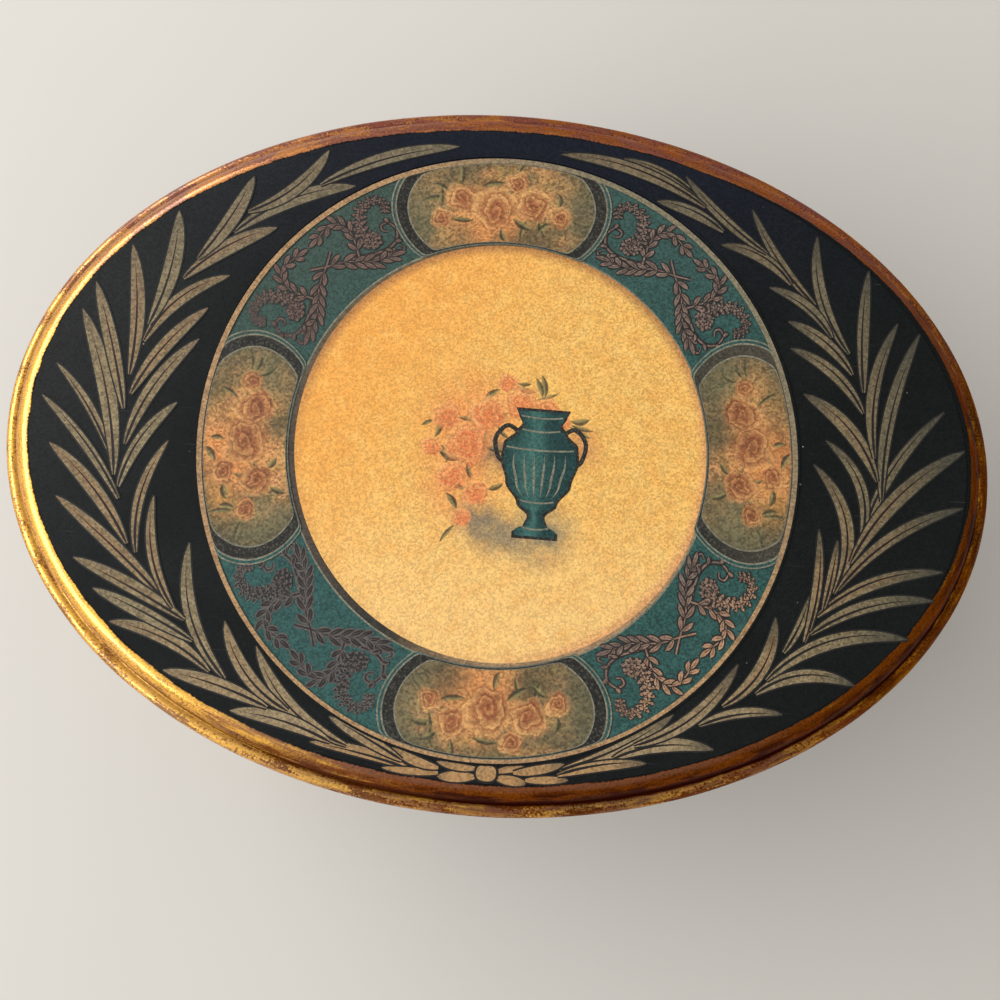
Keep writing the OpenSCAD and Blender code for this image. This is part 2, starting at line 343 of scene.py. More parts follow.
# Gold leaf: darker glaze tones with painted shade growing towards the right away from the lamp, a redder clay
# tone at the back, dark glaze in the groove with painted shade on the down-turned rounds, a painted sheen on
# the front outer round, black ground at the inner edge
@nodeGroup(
    dict(Color="Gold Amber Brown Clay Bole Dark Ground", Float="Age Back Bare Front"),
    dict(Color="Color", Float="Metallic Roughness Coat Height"),
)
def giltWear(given):
    along = added("UVMap", 0, uv_map="along")
    lap = axes(along)[1] * 1000.0
    hollow = attribute("hollow")
    age, back, front = given["Age"], given["Back"], given["Front"]

    def marks(lengthwise, across, detail, roughness):
        return speckle(stretched(along, (lengthwise, across, 1)), 1, detail, roughness)

    patches = speckle(objectPlace(), 150, 6, 0.68)
    blotch = marks(85, 300, 4, 0.6)
    streaks = marks(80, 650, 5, 0.65)
    scratch = marks(130, 2400, 4, 0.6)
    grit = marks(1700, 1400, 3, 0.7)
    clouds = marks(60, 230, 6, 0.68)
    nose = fade(lap, 8.4, 9.2)
    # At the front the outer round is kept lighter, a painted sheen, and takes more coat; the front top round
    # takes a darker glaze tone
    frontBeadSheen = front * nose
    crown = front * fade(lap, 0.8, 2.6, 1.0, 0.0)
    ovolo = front * fade(lap, 7.2, 8.2, 1.0, 0.0)
    # Darker glaze tone in streaks and patches, with painted shade: far more towards the right, away from the
    # lamp
    amberAndShade = age * 0.92 + streaks * 2.2 + patches * 0.7 - frontBeadSheen * 0.12 - age * nose * 0.2 + ovolo * 0.18
    worn = fade(blotch + grit * 0.6, 0.79, 0.88) * fade(lap, 2.0, 5.0, 0.3, 0.95)
    worn *= fade(age, 0.0, 0.5, 0.8, 1.0)
    bole = fade(blotch + patches * 0.5 + grit * 0.25, 0.8, 0.92, 0.0, 0.8) * back
    # Dark glaze in the groove, with painted shade on the down-turned rounds, strongest towards the right away
    # from the lamp
    poolAndShade = fade(hollow + streaks * 0.7 + patches * 0.5, 0.86, 1.24)
    poolAndShade *= held(age * 0.95 - back * 0.75 + 0.12)
    poolAndShade = maths("MAXIMUM", poolAndShade, fade(hollow, 0.7, 0.95) * 0.92)
    lines = fade(scratch, 0.57, 0.66, 0.0, 0.5) * fade(back, 0.0, 1.0, 1.0, 0.6)
    specks = fade(grit, 0.56, 0.68) * (hollow * 0.3 + age * 0.14 + 0.32)
    # Dark clouds on the right only: dark patches with painted shade, away from the lamp
    rustAndShade = fade(clouds, 0.45, 0.58, 0.0, 0.9) * (fade(age, 0.25, 0.95) * (1.0 - back))
    rustAndShade *= fade(lap, 0.8, 3.2, 0.1, 1.0) - fade(lap, 8.0, 9.2) * 0.45
    bare = fade(lap - given["Bare"] - grit * 0.5 - blotch * 1.2 + 0.85, 0.0, 0.3, 1.0, 0.0)

    shade = mixColour(fade(amberAndShade, 1.55, 2.3), given["Gold"], given["Amber"])
    shade = mixColour(back * 0.8, shade, given["Clay"])
    for mask, label in (
        (worn, "Brown"), (bole, "Bole"), (lines, "Brown"), (rustAndShade, "Dark"), (poolAndShade, "Dark"), (specks, "Dark"),
        (bare, "Ground"),
    ):
        shade = mixColour(mask, shade, given[label])
    dull = held(poolAndShade + bole * 0.5 + specks * 0.6 + worn * 0.7 + rustAndShade * 0.6 + bare)
    matt = age * 0.76 + back * 0.08 + worn * 0.5 + bare * 0.8 + poolAndShade * 0.6 - frontBeadSheen * 0.5 - crown * 0.5
    return {
        "Color": mixColour(1.0, shade, 2.25 - grit * 1.8 - scratch * 0.7, "MULTIPLY"),
        "Metallic": held(0.85 - dull * 0.83),
        "Roughness": specks * 0.2 + streaks * 0.2 + bare * 0.15 + poolAndShade * 0.3 + 0.24,
        "Coat": held(0.76 - matt),
        "Height": patches * 0.5 - specks * 0.5 - worn * 0.25 - grit * 0.2,
    }


@nodeGroup(dict(Color="Nap Shade", Float="Scale"), dict(Color="Color", Float="Height"))
def velvetPile(given):
    place = objectPlace()
    tufts = speckle(place, given["Scale"], 2, 0.5)
    brushed = fade(speckle(place, 120, 4, 0.55), 0.2, 0.75, 0.4, 1.0)
    nap = mixColour(brushed, given["Shade"], given["Nap"])
    shade = mixColour(fade(tufts, 0.42, 0.62, 0.0, 0.5), nap, given["Shade"])
    return {"Color": shade, "Height": tufts}


@nodeGroup(dict(Color="Bright Dull"), dict(Color="Color", Float="Roughness Height"))
def tarnish(given):
    place = objectPlace()
    dull = fade(speckle(place, 420, 6, 0.65), 0.42, 0.68)
    brushed = speckle(stretched(place, (120, 5200, 5200)), 1, 2)
    shade = mixColour(dull, given["Bright"], given["Dull"])
    return {"Color": shade, "Roughness": dull * 0.25 + 0.2, "Height": brushed}


# A rose painted softly: one spiral of petals, bent by noise, round a centre
@nodeGroup(dict(Vector="Place Centre", Float="Radius Twist"), dict(Float="Cover Light"))
def paintedRose(given):
    away = vectorMaths("SUBTRACT", given["Place"], given["Centre"])
    local = added("VectorMath", 0, {0: away, "Scale": 1.0 / given["Radius"]}, operation="SCALE")
    ruffle = {"Vector": local, "W": given["Twist"], "Scale": 1.5, "Detail": 2.0}
    sway = added("TexNoise", "Color", ruffle, noise_dimensions="4D")
    sway = vectorMaths("SUBTRACT", sway, (0.5, 0.5, 0.5))
    bent = vectorMaths("MULTIPLY_ADD", sway, (0.9, 0.9, 0), local)
    spot = axes(bent)
    reach = vectorMaths("LENGTH", bent)
    turn = maths("ARCTAN2", spot[1], spot[0])
    petal = maths("FRACT", reach * 2.8 + turn * (0.5 / math.pi) + given["Twist"] * 0.37)
    light = petal * 0.42 + reach * 0.45 + spot[1] * 0.16 - spot[0] * 0.12
    return {"Cover": fade(reach, 0.62, 1.0, 1.0, 0.0), "Light": light}


# A leaf painted softly from its base along a turn, one half lighter than the other
@nodeGroup(dict(Vector="Place Base", Float="Turn Length Width"), dict(Float="Cover Light"))
def paintedLeaf(given):
    away = vectorMaths("SUBTRACT", given["Place"], given["Base"])
    spot = axes(added("VectorRotate", 0, {"Vector": away, "Angle": given["Turn"]}, rotation_type="Z_AXIS"))
    share = spot[0] / given["Length"]
    bow = share * (1.0 - share)
    across = spot[1] + bow * given["Width"]
    spare = bow * (given["Width"] * 2.0) - maths("ABSOLUTE", across)
    return {"Cover": fade(spare, 0.0, 0.3 * mm), "Light": fade(across, -0.2 * mm, 0.3 * mm)}


# Printed paper: three tones of ink with their grain
paper = {"Roughness": 0.46, "Specular IOR Level": 0.35}


def printMaterial(name, tones, scale, cover, contrast):
    material, sockets = newMaterial(name, paper)
    ink, faded, speck = (colour(tone) for tone in tones)
    dots = dict(Scale=scale, Cover=cover, Contrast=contrast)
    grain = useGroup(printGrain, Ink=ink, Faded=faded, Speck=speck, **dots)
    bump(sockets, grain["Height"], 0.15, 0.05 * mm)
    return material, sockets, grain


def grained(tone, grain, deep=0.7):
    return mixColour(1.0, colour(tone), fade(grain["Grain"], 0.15, 0.85, 1.3, deep), "MULTIPLY")


# Other tones that come in along a direction, between two distances in millimetres
def drifted(shade, drift, grain=None):
    for way, low, high, tone, amount in drift:
        share = fadeAlong(objectPlace(), way, low * mm, high * mm, 0.0, amount)
        shade = mixColour(share, shade, grained(tone, grain) if grain else colour(tone))
    return shade


def inkMaterial(
    name, tones, scale=2200.0, cover=0.5, contrast=0.6, drift=(), tone=None, tip=None, beads=None,
):
    material, sockets, grain = printMaterial(name, tones, scale, cover, contrast)
    shade = grain["Color"]
    if tone:
        shade = mixColour(attribute("tone") * 0.6, shade, grained(tone, grain))
    shade = drifted(shade, drift, grain)
    if tip:
        share = fade(attribute("tip"), 0.55, 1.0) * fade(axes(objectPlace())[0], -0.06, 0.09, 0.2, 0.85)
        shade = mixColour(share, shade, grained(tip, grain))
    if beads:
        spread = {"Vector": objectPlace(), "Scale": 1 / (beads["size"] * mm), "Randomness": 0.9}
        dots = added("TexVoronoi", "Distance", spread)
        shade = mixColour(fade(dots, 0.15, 0.55, 0.5, 0.0), shade, grained(beads["tone"], grain))
    setInput(sockets["Base Color"], shade)
    return material


# Hazes, leaves and roses painted over a shade, at places given in millimetres
blossom = dict(
    leafLight=(140, 128, 82), leafShade=(62, 60, 44), leafCover=0.88, leafWidth=(1.2, 2.1), roseCover=0.9,
)


def paintPicture(place, shade, grain, picture):
    for x, y, radius, tone, amount in picture["hazes"]:
        away = vectorMaths("DISTANCE", place, (x * mm, y * mm, 0))
        cloud = fade(away, radius * 0.1 * mm, radius * mm, amount, 0.0)
        cloud *= fade(speckle(place, 170, 4, 0.5), 0.3, 0.6, 0.45, 1.0)
        shade = mixColour(cloud, shade, grained(tone, grain))
    pick = random.Random(picture["seed"])
    for index in range(picture["leaves"]):
        x, y, radius = picture["roses"][index % len(picture["roses"])]
        turn = pick.uniform(0, 2 * math.pi)
        base = ((x + math.cos(turn) * radius * 0.7) * mm, (y + math.sin(turn) * radius * 0.7) * mm, 0)
        length = pick.uniform(*picture["reach"]) * mm
        width = pick.uniform(*blossom["leafWidth"]) * mm
        leaf = useGroup(paintedLeaf, Place=place, Base=base, Turn=-turn, Length=length, Width=width)
        dark, light = (grained(blossom[label], grain) for label in ("leafShade", "leafLight"))
        shade = mixColour(leaf["Cover"] * blossom["leafCover"], shade, mixColour(leaf["Light"], dark, light))
    for index, (x, y, radius) in enumerate(picture["roses"]):
        middle = dict(Centre=(x * mm, y * mm, 0), Radius=radius * mm)
        rose = useGroup(paintedRose, Place=place, Twist=1.7 * index + picture["seed"], **middle)
        dark, light = (grained(picture[label], grain) for label in ("roseShade", "roseLight"))
        ink = mixColour(fade(rose["Light"], 0.1, 0.95), dark, light)
        shade = mixColour(rose["Cover"] * blossom["roseCover"], shade, ink)
    return shade


fieldTones = dict(
    inks=((198, 153, 92), (204, 145, 94), (140, 104, 62)), olive=(88, 88, 66), edge=(100, 96, 72),
)
discTones = dict(
    inks=((244, 188, 98), (246, 194, 108), (222, 160, 76)), fore=(246, 208, 142), left=(238, 160, 68),
    deep=(230, 160, 78), bright=(250, 212, 128), rim=(164, 110, 70), foreRim=(226, 160, 108),
)


def fieldMaterial(name, picture):
    material, sockets, grain = printMaterial(name, fieldTones["inks"], 1800.0, 0.5, 1.7)
    cloud = speckle(stretched(objectPlace(), (60, 85, 60)), 1, 4, 0.5)
    olive, edge = (grained(fieldTones[label], grain, 0.5) for label in ("olive", "edge"))
    shade = mixColour(fade(cloud, 0.4, 0.62, 0.0, 0.8), grain["Color"], olive)
    shade = paintPicture(added("TexCoord", "UV"), shade, grain, picture)
    shade = mixColour(fade(attribute("edge"), 0.66, 1.0, 0.0, 0.7), shade, edge)
    setInput(sockets["Base Color"], shade)
    return material


def discMaterial(name, picture):
    material, sockets, grain = printMaterial(name, discTones["inks"], 2300.0, 0.35, 1.0)
    place = vectorMaths("MULTIPLY", objectPlace(), (1, 1, 0))
    mottle = speckle(place, 220, 3, 0.5) * 0.4 + speckle(place, 1500, 4, 0.7) * 0.6
    shade = grain["Color"]
    for share, label in (
        (fade(axes(place)[1], -0.005, -0.052, 0.0, 0.5), "fore"),
        (fadeAlong(place, (-1.1, 0.7), 0.0, 0.06, 0.0, 0.7), "left"),
        (fade(mottle, 0.48, 0.64, 0.0, 0.5), "deep"),
        (fade(mottle, 0.36, 0.5, 0.4, 0.0), "bright"),
    ):
        shade = mixColour(share, shade, grained(discTones[label], grain, 0.95))
    shade = paintPicture(place, shade, grain, picture)
    rim, foreRim = (grained(discTones[label], grain) for label in ("rim", "foreRim"))
    rim = mixColour(fadeAlong(place, (0.7, -0.7), 0.0, 0.045), rim, foreRim)
    clear = fadeAlong(place, (-0.7, -0.7), 0.015, 0.045, 0.8, 0.15)
    shade = mixColour(fade(attribute("edge"), 0.935, 1.0) * clear, shade, rim)
    setInput(sockets["Base Color"], shade)
    return material


blackMarks = dict(scratch=(120, 118, 112), dust=(190, 186, 176), weave=2200.0)


def blackMaterial(name, ground, cloudy, roughness, gloss, drift=()):
    material, sockets = newMaterial(name, {"Specular IOR Level": gloss})
    marks = useGroup(dustScratch, Density=1.0)
    shade = drifted(mixColour(marks["Smear"], colour(ground), colour(cloudy)), drift)
    weave = 1.6 - useGroup(grainCells, Scale=blackMarks["weave"])["Grain"] * 1.2
    shade = mixColour(1.0, shade, weave, "MULTIPLY")
    shade = mixColour(marks["Scratch"] * 0.35, shade, colour(blackMarks["scratch"]))
    shade = mixColour(marks["Dust"] * 0.7, shade, colour(blackMarks["dust"]))
    wire(sockets, {"Base Color": shade, "Roughness": marks["Smear"] * 0.12 + roughness})
    bump(sockets, marks["Dust"] - marks["Scratch"], 0.12, 0.05 * mm)
    return material


varnish = {
    "Specular IOR Level": 0.06, "Specular Tint": (0.5, 0.27, 0.1, 1), "Coat IOR": 1.9, "Coat Roughness": 0.2,
}


def giltMaterial(name, tones, age, back, bare):
    material, sockets = newMaterial(name, varnish)
    place = objectPlace()
    across = axes(place)[1]
    # Glaze, dark patches and painted shade grow from the left rim towards the right, away from the lamp; the
    # front rim takes a painted sheen
    wear = useGroup(
        giltWear, Age=fadeAlong(place, (0.99, -0.08), *age), Back=fade(across, *back),
        Bare=fadeAlong(place, (0.87, 0.5), 0.075, 0.118, *bare), Front=fade(across, -0.055, -0.08),
        **{label: colour(tone) for label, tone in tones.items()},
    )
    wire(sockets, {"Base Color": wear["Color"], "Coat Weight": wear["Coat"]})
    wire(sockets, {label: wear[label] for label in ("Metallic", "Roughness")})
    bump(sockets, wear["Height"], 0.4, 0.3 * mm)
    return material


pileSheen = {
    "Roughness": 0.9, "Specular IOR Level": 0.1, "Sheen Roughness": 0.35,
    "Sheen Tint": colour((235, 150, 150)),
}


def velvetMaterial(name, nap, shade, scale, sheen):
    material, sockets = newMaterial(name, {**pileSheen, "Sheen Weight": sheen})
    pile = useGroup(velvetPile, Nap=colour(nap), Shade=colour(shade), Scale=scale)
    setInput(sockets["Base Color"], pile["Color"])
    bump(sockets, pile["Height"], 0.5, 0.2 * mm)
    return material


def metalMaterial(name, bright, dull):
    material, sockets = newMaterial(name, {"Metallic": 1.0})
    worn = useGroup(tarnish, Bright=colour(bright), Dull=colour(dull))
    wire(sockets, {"Base Color": worn["Color"], "Roughness": worn["Roughness"]})
    bump(sockets, worn["Height"], 0.1, 0.05 * mm)
    return material


def mirrorMaterial(name, silver, dust):
    material, sockets = newMaterial(name, {"Metallic": 1.0})
    marks = useGroup(dustScratch, Density=0.6)
    shade = mixColour(marks["Dust"], colour(silver), colour(dust))
    wire(sockets, {"Base Color": shade, "Roughness": marks["Smear"] * 0.03 + 0.015})
    return material


giltTones = dict(
    Gold=(244, 178, 52), Amber=(136, 70, 12), Brown=(116, 60, 18), Clay=(204, 124, 74), Bole=(138, 80, 70),
    Dark=(50, 9, 3), Ground=(27, 29, 30),
)
frameTones = dict(
    Gold=(232, 184, 96), Amber=(160, 104, 44), Brown=(140, 90, 40), Clay=(200, 140, 80), Bole=(190, 150, 110),
    Dark=(70, 40, 18), Ground=(70, 40, 18),
)
# Tones across the black ground: bluish towards the back, lighter towards the upper left as painted light on
# the lamp side, greenish towards the right
blackTintAndLight = [
    ((0, 1), 30, 85, (24, 29, 42), 0.8), ((-0.85, 0.5), 60, 115, (38, 39, 39), 0.8),
    ((1, 0), 40, 120, (16, 22, 20), 0.6),
]
giltLeaf = giltMaterial("giltLeaf", giltTones, age=(-0.09, 0.025), back=(0.01, 0.075), bare=(0.3, 1.5))
frameGilt = giltMaterial("frameGilt", frameTones, age=(0.4, 0.6), back=(0.4, 0.6), bare=(-1.0, -1.0))
blackPrint = blackMaterial("blackPrint", (18, 21, 22), (25, 28, 29), 0.46, 0.16, blackTintAndLight)
blackLacquer = blackMaterial("blackLacquer", (18, 17, 17), (30, 27, 25), 0.26, 0.4)
wineVelvet = velvetMaterial("wineVelvet", (112, 18, 32), (62, 6, 16), 2600.0, 0.7)
greenFelt = velvetMaterial("greenFelt", (44, 66, 50), (28, 44, 34), 1800.0, 0.2)
agedBrass = metalMaterial("agedBrass", (214, 172, 92), (128, 92, 44))
dullSteel = metalMaterial("dullSteel", (176, 178, 180), (120, 116, 108))
silveredGlass = mirrorMaterial("silveredGlass", (232, 236, 236), (150, 150, 150))

# Flower sprigs for the fields and the disc: roses as (across, up, radius), and soft hazes behind them
foreSprig = dict(
    seed=3, leaves=20, reach=(4.2, 7.4), roseLight=(232, 178, 112), roseShade=(146, 80, 50),
    roses=[
        (3.6, 7.0, 3.4), (-16.6, -1.0, 3.4), (15.8, -0.6, 3.8), (-10.2, 3.0, 5.0), (8.2, 1.6, 5.6),
        (-1.6, -0.4, 7.0),
    ],
    hazes=[
        (-21, 2, 12, (122, 118, 86), 0.8), (21, 4, 12, (98, 98, 74), 0.85), (2, 11, 9, (104, 96, 64), 0.6),
        (-4, -4, 16, (236, 152, 86), 0.75), (10, -8, 9, (80, 76, 54), 0.8), (-12, -8, 8, (90, 82, 58), 0.7),
    ],
)
sideSprig = dict(
    seed=8, leaves=20, reach=(4.2, 7.4), roseLight=(222, 164, 102), roseShade=(134, 74, 48),
    roses=[
        (-15.8, 2.2, 3.4), (-5.8, 6.6, 3.6), (16.2, 1.8, 3.2), (-9.2, -1.6, 5.2), (9.6, -0.4, 5.8),
        (0.8, 1.2, 6.6),
    ],
    hazes=[
        (-21, -2, 12, (126, 120, 86), 0.8), (21, -3, 12, (110, 108, 78), 0.85), (5, -9, 9, (92, 84, 58), 0.7),
        (-2, 5, 15, (226, 142, 78), 0.7), (13, 9, 8, (96, 88, 58), 0.7), (-13, 9, 8, (196, 142, 74), 0.6),
    ],
)
bouquet = dict(
    seed=5, leaves=26, reach=(4.0, 7.0), roseLight=(246, 182, 112), roseShade=(222, 120, 72),
    roses=[
        (1.0, 15.4, 3.2), (-17.2, -2.6, 3.0), (15.6, 6.2, 2.6), (-8.0, -20.0, 3.0), (-5.0, -13.5, 3.8),
        (-14.0, 5.5, 4.0), (11.2, 9.2, 3.8), (-11.5, -9.6, 4.6), (4.8, 10.2, 5.0), (-3.5, 7.0, 5.6),
        (-8.5, -1.0, 6.4),
    ],
    hazes=[
        (-6, 4, 20, (236, 142, 82), 0.75), (-9, -11, 16, (234, 142, 84), 0.7),
        (-4, -21, 9, (102, 106, 98), 0.8), (12, -23, 12, (104, 112, 104), 0.85),
        (2, -24, 9, (112, 112, 102), 0.7), (0, -3, 8, (112, 104, 88), 0.75), (20, 0, 9, (190, 116, 82), 0.6),
    ],
)
fieldInks = [fieldMaterial("foreFieldInk", foreSprig), fieldMaterial("sideFieldInk", sideSprig)]
discInk = discMaterial("discInk", bouquet)

# Each ink: its tone, the same faded, and its specks, then how other tones drift in
inkLooks = dict(
    tealInk=dict(
        tones=((40, 79, 75), (50, 89, 84), (76, 108, 100)), scale=2300.0, cover=0.4, contrast=1.6,
        drift=[
            ((0, 1), 10, 70, (66, 86, 80), 0.5), ((-0.7, 0.7), 20, 75, (62, 76, 66), 0.6),
            ((-0.7, -0.7), 30, 75, (48, 90, 88), 0.35),
        ],
    ),
    leafInk=dict(
        tones=((126, 112, 82), (143, 129, 98), (82, 72, 54)), scale=1800.0, cover=0.55, contrast=1.5,
        drift=[
            ((0, -1), 40, 82, (166, 144, 110), 0.6), ((0, -1), 72, 83, (182, 132, 76), 0.6),
            ((0, 1), 5, 70, (106, 98, 82), 0.5), ((1, 0), 75, 118, (74, 73, 58), 0.85),
            ((0.7, 0.7), 60, 95, (98, 90, 70), 0.6),
        ],
        tone=(160, 114, 72), tip=(68, 66, 55),
    ),
    outlineInk=dict(tones=((26, 25, 25), (34, 31, 30), (20, 20, 22))),
    borderInk=dict(
        tones=((182, 146, 104), (166, 130, 92), (128, 100, 74)), contrast=1.3,
        drift=[((0.7, 0.7), 20, 70, (128, 122, 100), 0.9)],
    ),
    paleInk=dict(tones=((122, 120, 104), (140, 136, 116), (84, 90, 82)), cover=0.6, contrast=1.2),
    bandInk=dict(
        tones=((31, 31, 28), (44, 43, 39), (21, 23, 23)), scale=1800.0, cover=0.7, contrast=1.5,
        drift=[((0.94, 0.34), 35, 65, (86, 80, 66), 0.6)], beads=dict(size=0.75, tone=(96, 92, 80)),
    ),
    ringInk=dict(
        tones=((40, 40, 36), (54, 52, 46), (24, 26, 26)), scale=1800.0, cover=0.7, contrast=1.5,
        drift=[
            ((0, 1), -15, 25, (116, 100, 74), 0.85), ((-1, 0), 20, 50, (92, 78, 66), 0.6),
            ((0.7, -0.7), 15, 42, (172, 140, 104), 0.9),
        ],
    ),
    scrollInk=dict(
        tones=((116, 98, 88), (134, 112, 100), (72, 60, 54)), scale=1800.0, contrast=1.4,
        drift=[
            ((-0.7, 0.7), 10, 60, (112, 88, 78), 0.8), ((0.7, -0.7), 56, 76, (196, 150, 112), 0.75),
            ((-0.7, -0.7), 10, 45, (34, 33, 33), 0.95),
        ],
    ),
    scrollShade=dict(
        tones=((38, 34, 34), (48, 44, 42), (26, 26, 26)), cover=0.4,
        drift=[((-0.7, -0.7), 10, 45, (106, 98, 94), 0.75)],
    ),
    urnInk=dict(
        tones=((24, 58, 58), (32, 70, 68), (66, 100, 94)), scale=2000.0, contrast=1.6, tone=(78, 128, 118),
    ),
)
inks = {name: inkMaterial(name, **look) for name, look in inkLooks.items()}
print("stage: materials ready")


# CAD pieces whose shape is right only take a finish
nodeFinish = dict(
    box_wall=blackLacquer, lid_board=blackLacquer, base_board=blackLacquer, lid_print=blackPrint,
    base_felt=greenFelt, floor_lining=wineVelvet, divider_left=wineVelvet, divider_right=wineVelvet,
    mirror_glass=silveredGlass, base_screws=dullSteel,
)
nodeFinish.update({nodeName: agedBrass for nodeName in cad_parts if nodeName.startswith("hinge")})
for nodeName, finish in nodeFinish.items():
    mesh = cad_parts[nodeName].data
    mesh.materials.clear()
    mesh.materials.append(finish)


# Moulded edges: one section carried round the oval, with each row's share of dark glaze and painted shade
# kept for the gilding
moulding = dict(
    ovoloWidth=4.6, ovoloDrop=4.6, quirkHeight=1.2, filletWidth=0.5, grooveFill=0.2, beadRadius=2.0,
    beadRise=0.5, setback=3.5, underReach=1.6, skin=0.06, depth=0.5, stations=288, wander=0.09, crease=42,
)


# Rows are (inset, height, dark glaze and painted shade), from the inner edge of the top round to the
# underside
def edgeRows(thickness):
    v = moulding
    radius = v["beadRadius"]
    seat = math.asin((radius - v["beadRise"]) / radius)
    start = math.asin((radius - v["beadRise"] + v["grooveFill"]) / radius)
    foot = radius * (1 + math.cos(seat)) + v["filletWidth"]
    nose = radius * (1 + math.cos(start))
    width = foot + v["ovoloWidth"]
    shoulder = thickness - v["ovoloDrop"]
    groove = shoulder - v["quirkHeight"] + v["grooveFill"]
    beadLevel = shoulder - v["quirkHeight"] - radius * math.sin(seat)
    rows = [(width, thickness, 0.15)]
    # Down the top round the painted shade grows as the surface turns outwards and down
    for step in range(1, 11):
        turn = math.radians(9 * step)
        inset = width - v["ovoloWidth"] * math.sin(turn)
        drop = v["ovoloDrop"] * (1 - math.cos(turn))
        rows.append((inset, thickness - drop, 0.15 + 0.75 * (step / 10) ** 1.8))
    for step in range(1, 6):
        turn = math.radians(18 * step)
        inset = foot - (foot - nose) * (1 - math.cos(turn))
        rows.append((inset, shoulder - (shoulder - groove) * math.sin(turn), 1.0 if step < 4 else 0.7))
    for step in range(1, 17):
        turn = start + (math.radians(270) - start) * step / 16
        # The outer round is clear on top, with painted shade on its down-turned lower half
        sunkAndShade = 0.25 if step < 2 else 0.0 if step < 11 else 0.5
        rows.append((radius * (1 + math.cos(turn)), beadLevel + radius * math.sin(turn), sunkAndShade))
    rows.append((v["setback"], beadLevel - radius, 0.8))
    rows.append((v["setback"], 0.0, 0.6))
    rows.append((v["setback"] + v["underReach"], 0.0, 0.4))
    return rows


def only(parts, kind):
    return [part for part in parts if isinstance(part, kind)]


def loftOval(rows, halves, segments):
    bm = bmesh.new()
    hollow = bm.verts.layers.float.new("hollow")
    lap = bm.verts.layers.float.new("lap")
    ring = bmesh.ops.create_circle(bm, cap_ends=False, segments=segments, radius=1)["verts"]
    firstEdges = edges = list(bm.edges)
    size, level, travel, last = (1, 1), 0.0, 0.0, rows[0]
    for index, (inset, height, sunkAndShade) in enumerate(rows):
        if index:
            grown = bmesh.ops.extrude_edge_only(bm, edges=edges)["geom"]
            ring = only(grown, bmesh.types.BMVert)
            fresh = set(ring)
            edges = [edge for edge in only(grown, bmesh.types.BMEdge) if fresh.issuperset(edge.verts)]
        nextSize = (halves[0] - inset, halves[1] - inset)
        bmesh.ops.scale(bm, vec=(nextSize[0] / size[0], nextSize[1] / size[1], 1), verts=ring)
        bmesh.ops.translate(bm, vec=(0, 0, height - level), verts=ring)
        travel += math.hypot(inset - last[0], height - last[1])
        for vert in ring:
            vert[hollow], vert[lap] = sunkAndShade, travel
        size, level, last = nextSize, height, rows[index]
    bmesh.ops.bridge_loops(bm, edges=firstEdges + edges)
    bmesh.ops.recalc_face_normals(bm, faces=bm.faces)
    layer = bm.loops.layers.uv.new("along")
    radius = (halves[0] + halves[1]) / 2
    for face in bm.faces:
        turns = [math.atan2(loop.vert.co.y / halves[1], loop.vert.co.x / halves[0]) for loop in face.loops]
        wrap = max(turns) - min(turns) > math.pi
        for loop, turn in zip(face.loops, turns):
            turn += 2 * math.pi if wrap and turn < 0 else 0
            loop[layer].uv = (turn * radius * mm, loop.vert[lap] * mm)
    return bm


def halvesOf(node):
    low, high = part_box(node)
    return (high.x - low.x) / 2 / mm, (high.y - low.y) / 2 / mm


def makeEdge(name, bottom, thickness, body):
    v = moulding
    outer = edgeRows(thickness)
    width, depth = outer[0][0], v["depth"]
    inner = [
        (v["setback"] + v["underReach"], depth, 0.4), (v["setback"] + depth, depth, 0.4),
        (width - 2 * depth, thickness * 0.45, 0.4), (width, thickness - depth, 0.4),
    ]
    bm = loftOval(outer + inner, halvesOf("lid_board"), v["stations"])
    bm.normal_update()
    for vert in bm.verts:
        sway = noise.noise(vert.co * 0.11) + 0.5 * noise.noise(vert.co * 0.35)
        vert.co += vert.normal * (v["skin"] + v["wander"] * max(0.0, 0.75 + 0.5 * sway))
    toMetres(bm)
    bmesh.ops.translate(bm, vec=(0, 0, bottom), verts=bm.verts)
    piece = toPiece(name, bm, giltLeaf, body, smooth=True)
    piece.data.set_sharp_from_angle(angle=math.radians(v["crease"]))


makeEdge("lidGilding", boardLow.z, (boardHigh.z - boardLow.z) / mm, "lid")
makeEdge("baseGilding", baseLow.z, (baseHigh.z - baseLow.z) / mm, "box")
print("stage: gilded edges made")


